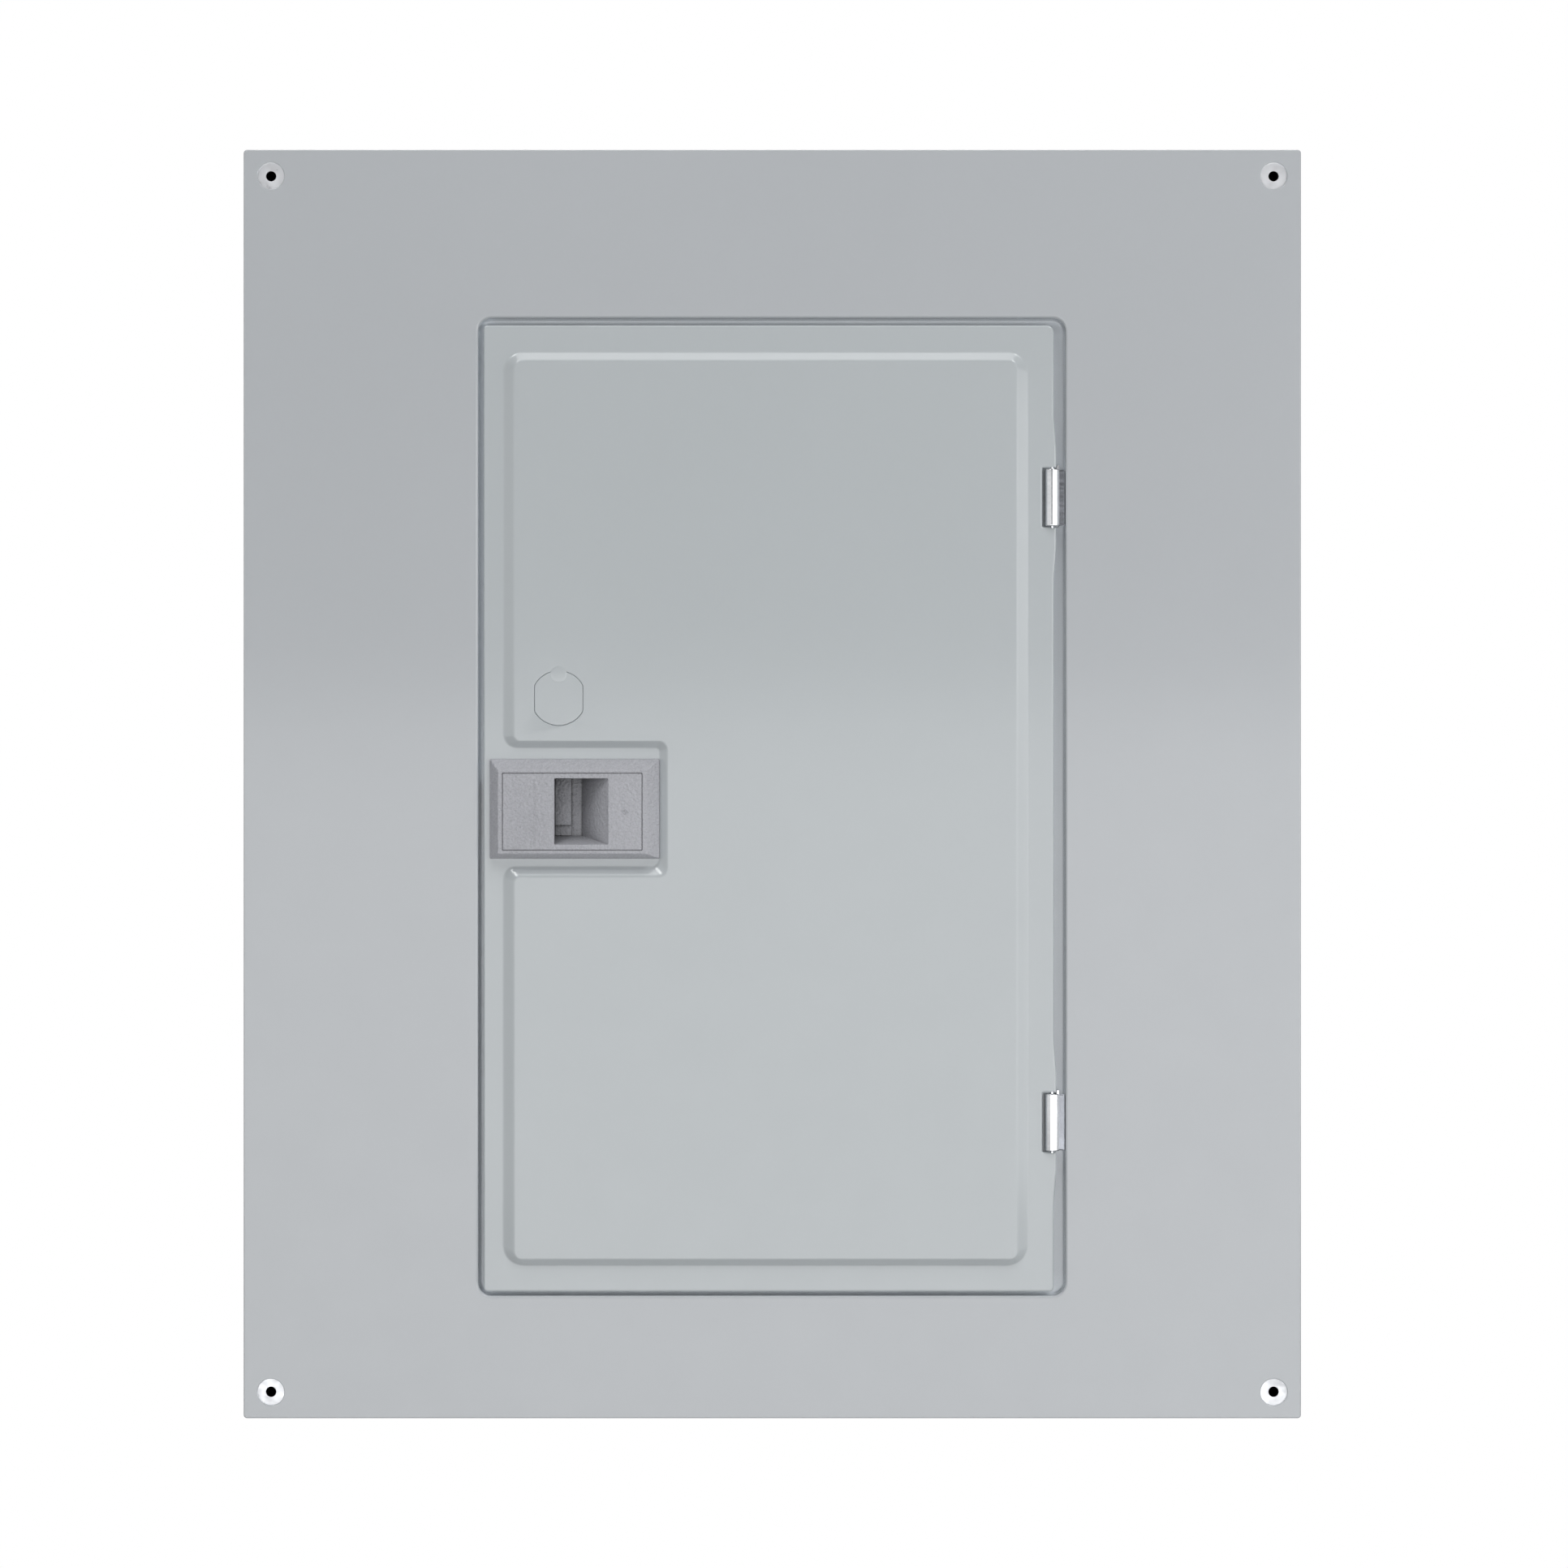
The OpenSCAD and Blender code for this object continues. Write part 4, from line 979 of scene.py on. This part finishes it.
def build_bezel():
    """Bevelled frame, pebbled panel in a fine groove and the finger pocket, as one moulding."""
    b = Builder()
    face = bezel_low.y
    rim_edge, groove, deep = 0.25 * MM, 0.34 * MM, 0.45 * MM
    base = rectangle((bezel_low.x, bezel_high.x), (bezel_low.z, bezel_high.z), 0.5 * MM)
    rim = rectangle((bezel_low.x + 2.9 * MM, bezel_high.x - 4.3 * MM),
                    (bezel_low.z + 1.7 * MM, bezel_high.z - 3.9 * MM), 0.35 * MM)
    panel = rectangle((bezel_low.x + 4.3 * MM, bezel_high.x - 5.7 * MM),
                      (bezel_low.z + 2.8 * MM, bezel_high.z - 4.7 * MM), 0.35 * MM)
    foot_y = door_face - 1.0 * MM
    rings = [(base, door_face + 0.02 * MM), (base, foot_y + 0.25 * MM)]
    rings += [(base.between(rim, s), foot_y + (face - foot_y) * s) for s in (0.04, 0.5, 0.96)]
    rings += [(rim.inset(0.12 * MM), face + 0.03 * MM), (rim.inset(rim_edge), face)]
    frame_side = b.stack([(outline.points(6), y) for outline, y in rings])
    level = face + 0.2 * MM
    wall = [(panel, face), (panel.inset(0.05 * MM), face + 0.05 * MM),
            (panel.inset(0.06 * MM), face + deep), (panel.inset(groove - 0.06 * MM), face + deep),
            (panel.inset(groove - 0.05 * MM), level + 0.09 * MM), (panel.inset(groove + 0.04 * MM), level)]
    channel = b.stack([(outline.points(6), y) for outline, y in wall])
    b.fill(frame_side[-1], [channel[0]])
    mouth = pocket_mouth()
    lip = b.stack([(mouth.inset(i).points(3), level + d) for i, d in dipped(POCKET_LIP, 3)])
    mark = gate_mark(b, level)
    b.fill(channel[-1], [lip[0], mark])
    rib = bezel_low.x + 15.3 * MM
    block(b, (rib, rib + 0.35 * MM), (level - 0.12 * MM, level + 0.3 * MM),
          (bezel_low.z + 5.1 * MM, bezel_high.z - 7.3 * MM), 0.1 * MM)
    shell = pocket(b, lip[-1], level)
    b.fill(frame_side[0], [shell], flip=True)
    b.make("latch_bezel_moulding", "latch_plastic", "door", "latch_bezel", smooth_angle=30)


def pocket_mouth():
    """Outline of the finger pocket's mouth in the panel."""
    x = (bezel_low.x + 22.2 * MM, bezel_low.x + 40.6 * MM)
    z = (bezel_low.z + 4.9 * MM, bezel_high.z - 6.7 * MM)
    return rectangle(x, z, 0.3 * MM).inset(-POCKET_LIP)


def pocket(b, rim_loop, face):
    """Walls of the pocket below its lip: two drop straight, the sill slopes, the right one ramps in."""
    mouth = pocket_mouth().inset(POCKET_LIP)
    deep = door_face + 5.0 * MM
    ramp_foot = mouth.corners[0].x + 9.3 * MM
    start = face + 0.25 * MM
    steps = 10
    previous = rim_loop
    right = mouth.corners[1].x
    sill, draft = mouth.corners[0].y, 2.9 * MM
    for k in range(1, steps + 1):
        share = k / steps
        ring = [Vector((min(p.x, right + (ramp_foot - right) * share), max(p.y, sill + draft * share)))
                for p in mouth.points(3)]
        loop = b.loop(ring, start + (deep - start) * share)
        b.bridge(previous, loop)
        previous = loop
    outside = mouth.inset(-1.5 * MM).points(3)
    walls = b.stack([(outside, deep), (outside, door_face + 0.02 * MM)])
    b.bridge(previous, walls[0])
    return walls[-1]


def gate_mark(b, y):
    """Small square gate mark stood on its corner, with a raised edge and a shallow middle."""
    x, z = bezel_high.x - 11.7 * MM, bezel_low.z + 16.2 * MM
    half = 1.2 * MM

    def diamond(size):
        return [Vector((x + size * dx, z + size * dz)) for dx, dz in ((1, 0), (0, 1), (-1, 0), (0, -1))]

    profile = ((1, 0), (0.85, -0.19), (0.7, -0.19), (0.5, 0.05), (0.3, 0.05))   # share of half, millimetres
    loops = b.stack([(diamond(half * share), y + d * MM) for share, d in profile])
    b.fill(loops[-1])
    return loops[0]


# ---------------------------------------------------------------- breakers

def sided(x, side):
    """A range of distances from the centre plane as a range of x on one side."""
    return tuple(sorted((side * x[0] * MM, side * x[1] * MM)))


def build_branch_trim():
    """Rating plates, handle guards and finger ribs on the branch breakers' noses."""
    plates, ribs = Builder(), Builder()
    for n in range(1, 11):
        low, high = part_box("breaker_%d_case" % n)
        side = 1 if low.x > 0 else -1
        poles = round((high.z - low.z) / BREAKER_PITCH)
        nose = low.y
        for k in range(poles):
            z = low.z + (high.z - low.z) * (k + 0.5) / poles
            block(plates, sided((40, 51), side), (nose - 0.15 * MM, nose + 0.1 * MM),
                  (z - 4.5 * MM, z + 4.5 * MM))
            for dz in (-5.4, 5.4):
                block(ribs, sided((20.5, 37.5), side), (nose - 0.7 * MM, nose + 0.1 * MM),
                      (z + (dz - 0.5) * MM, z + (dz + 0.5) * MM))
            for x in (7, 10, 13, 16):
                block(ribs, sided((x, x + 1.2), side), (nose - 0.4 * MM, nose + 0.1 * MM),
                      (z - 7 * MM, z + 7 * MM))
    plates.make("branch_rating_plates", "latch_plastic", "panel")
    ribs.make("branch_breaker_ribs", "breaker_plastic", "panel")


def build_main_trim():
    """Rating plate, raised frame and grip ribs on the main breaker's nose."""
    low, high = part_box("main_breaker_case")
    nose = low.y
    z = MAIN_HANDLE_Z
    plate = Builder()
    block(plate, (-13 * MM, 13 * MM), (nose - 0.15 * MM, nose + 0.1 * MM), (z + 12 * MM, z + 19 * MM))
    plate.make("main_rating_plate", "latch_plastic", "panel")
    ribs = Builder()
    for dz in (-9.6, 9.6):
        block(ribs, (-11.6 * MM, 11.6 * MM), (nose - 0.8 * MM, nose + 0.1 * MM),
              (z + (dz - 0.6) * MM, z + (dz + 0.6) * MM))
    for dx in (-11, 11):
        block(ribs, ((dx - 0.6) * MM, (dx + 0.6) * MM), (nose - 0.8 * MM, nose + 0.1 * MM),
              (z - 9.2 * MM, z + 9.2 * MM))
    for k in range(4):
        block(ribs, (-10 * MM, 10 * MM), (nose - 0.4 * MM, nose + 0.1 * MM),
              (z - (13 + 2 * k) * MM, z - (12 + 2 * k) * MM))
    ribs.make("main_breaker_ribs", "breaker_plastic", "panel")


# ---------------------------------------------------------------- carried-over CAD nodes

def soften(node, slot, width=0.3 * MM, segments=2):
    """Keeps a CAD node, with its material and its sharp edges rounded a little."""
    piece = frame["nodes"][node]
    piece.data.materials.clear()
    piece.data.materials.append(MATERIALS[slot])
    for polygon in piece.data.polygons:
        polygon.use_smooth = True
    weld = piece.modifiers.new("weld", "WELD")
    weld.merge_threshold = 0.002 * MM
    planar = piece.modifiers.new("planar", "DECIMATE")
    planar.decimate_type = "DISSOLVE"
    planar.angle_limit = math.radians(0.5)
    bevel = piece.modifiers.new("bevel", "BEVEL")
    bevel.width = width
    bevel.segments = segments
    bevel.limit_method = "ANGLE"
    bevel.angle_limit = math.radians(35)
    split = piece.modifiers.new("split", "EDGE_SPLIT")
    split.split_angle = math.radians(35)
    weighted = piece.modifiers.new("weighted", "WEIGHTED_NORMAL")
    weighted.weight = 100


def carry_over():
    """Softens every CAD node that no finer piece stands for; widths are in millimetres."""
    slots = {row["node"]: row["material_slot"] for row in frame["record"]["subparts"]}
    replaced = {"cover", "door", "lock_knockout", "latch_bezel", "latch_slider", "hinge_strap_upper",
                "hinge_strap_lower", "hinge_pin_upper", "hinge_pin_lower", "latch_spring"}
    widths = {"corner_brackets": 0.2, "box_knockouts": 0.12, "directory_card": 0.1, "enclosure": 0.4}
    for node, slot in slots.items():
        if node not in replaced:
            soften(node, slot, widths.get(node, 0.3) * MM)


# ---------------------------------------------------------------- assembly of the scene

def light_the_scene():
    """Two small keys for glints, broad lamps for the tone of the picture, and the floor."""
    middle = (0, cover_face, 0)
    add_world(1.0, 0.5, 0.05)
    add_area("key_right", (0.9, -1.3, 1.55), middle, (0.5, 0.5), 8)
    add_area("key_left", (-0.9, -1.3, 1.55), middle, (0.5, 0.5), 7)
    add_area("front", (-0.05, -2.35, -0.38), middle, (2.2, 0.9), 11.2)
    add_area("side_right", (1.15, -1.05, 0), middle, (2.2, 0.5), 7.2)
    add_area("side_left", (-1.15, -1.05, 0), middle, (2.2, 0.5), 1.9)
    add_area("overhead", (0, -0.8, 1.7), middle, (1.8, 0.6), 9)
    add_area("rear", (0, 1.6, 1.9), middle, (1.2, 1.2), 16)
    add_floor(floor_material())


add_camera()
set_colours()
light_the_scene()
carry_over()
build_cover()
build_door()
build_door_return()
build_lock_slug()
build_curls()
for place_name, place_z in zip(("upper", "lower"), hinge_z):
    build_hinge(place_name, place_z)
build_bezel()
build_slider()
build_spring()
build_branch_trim()
build_main_trim()
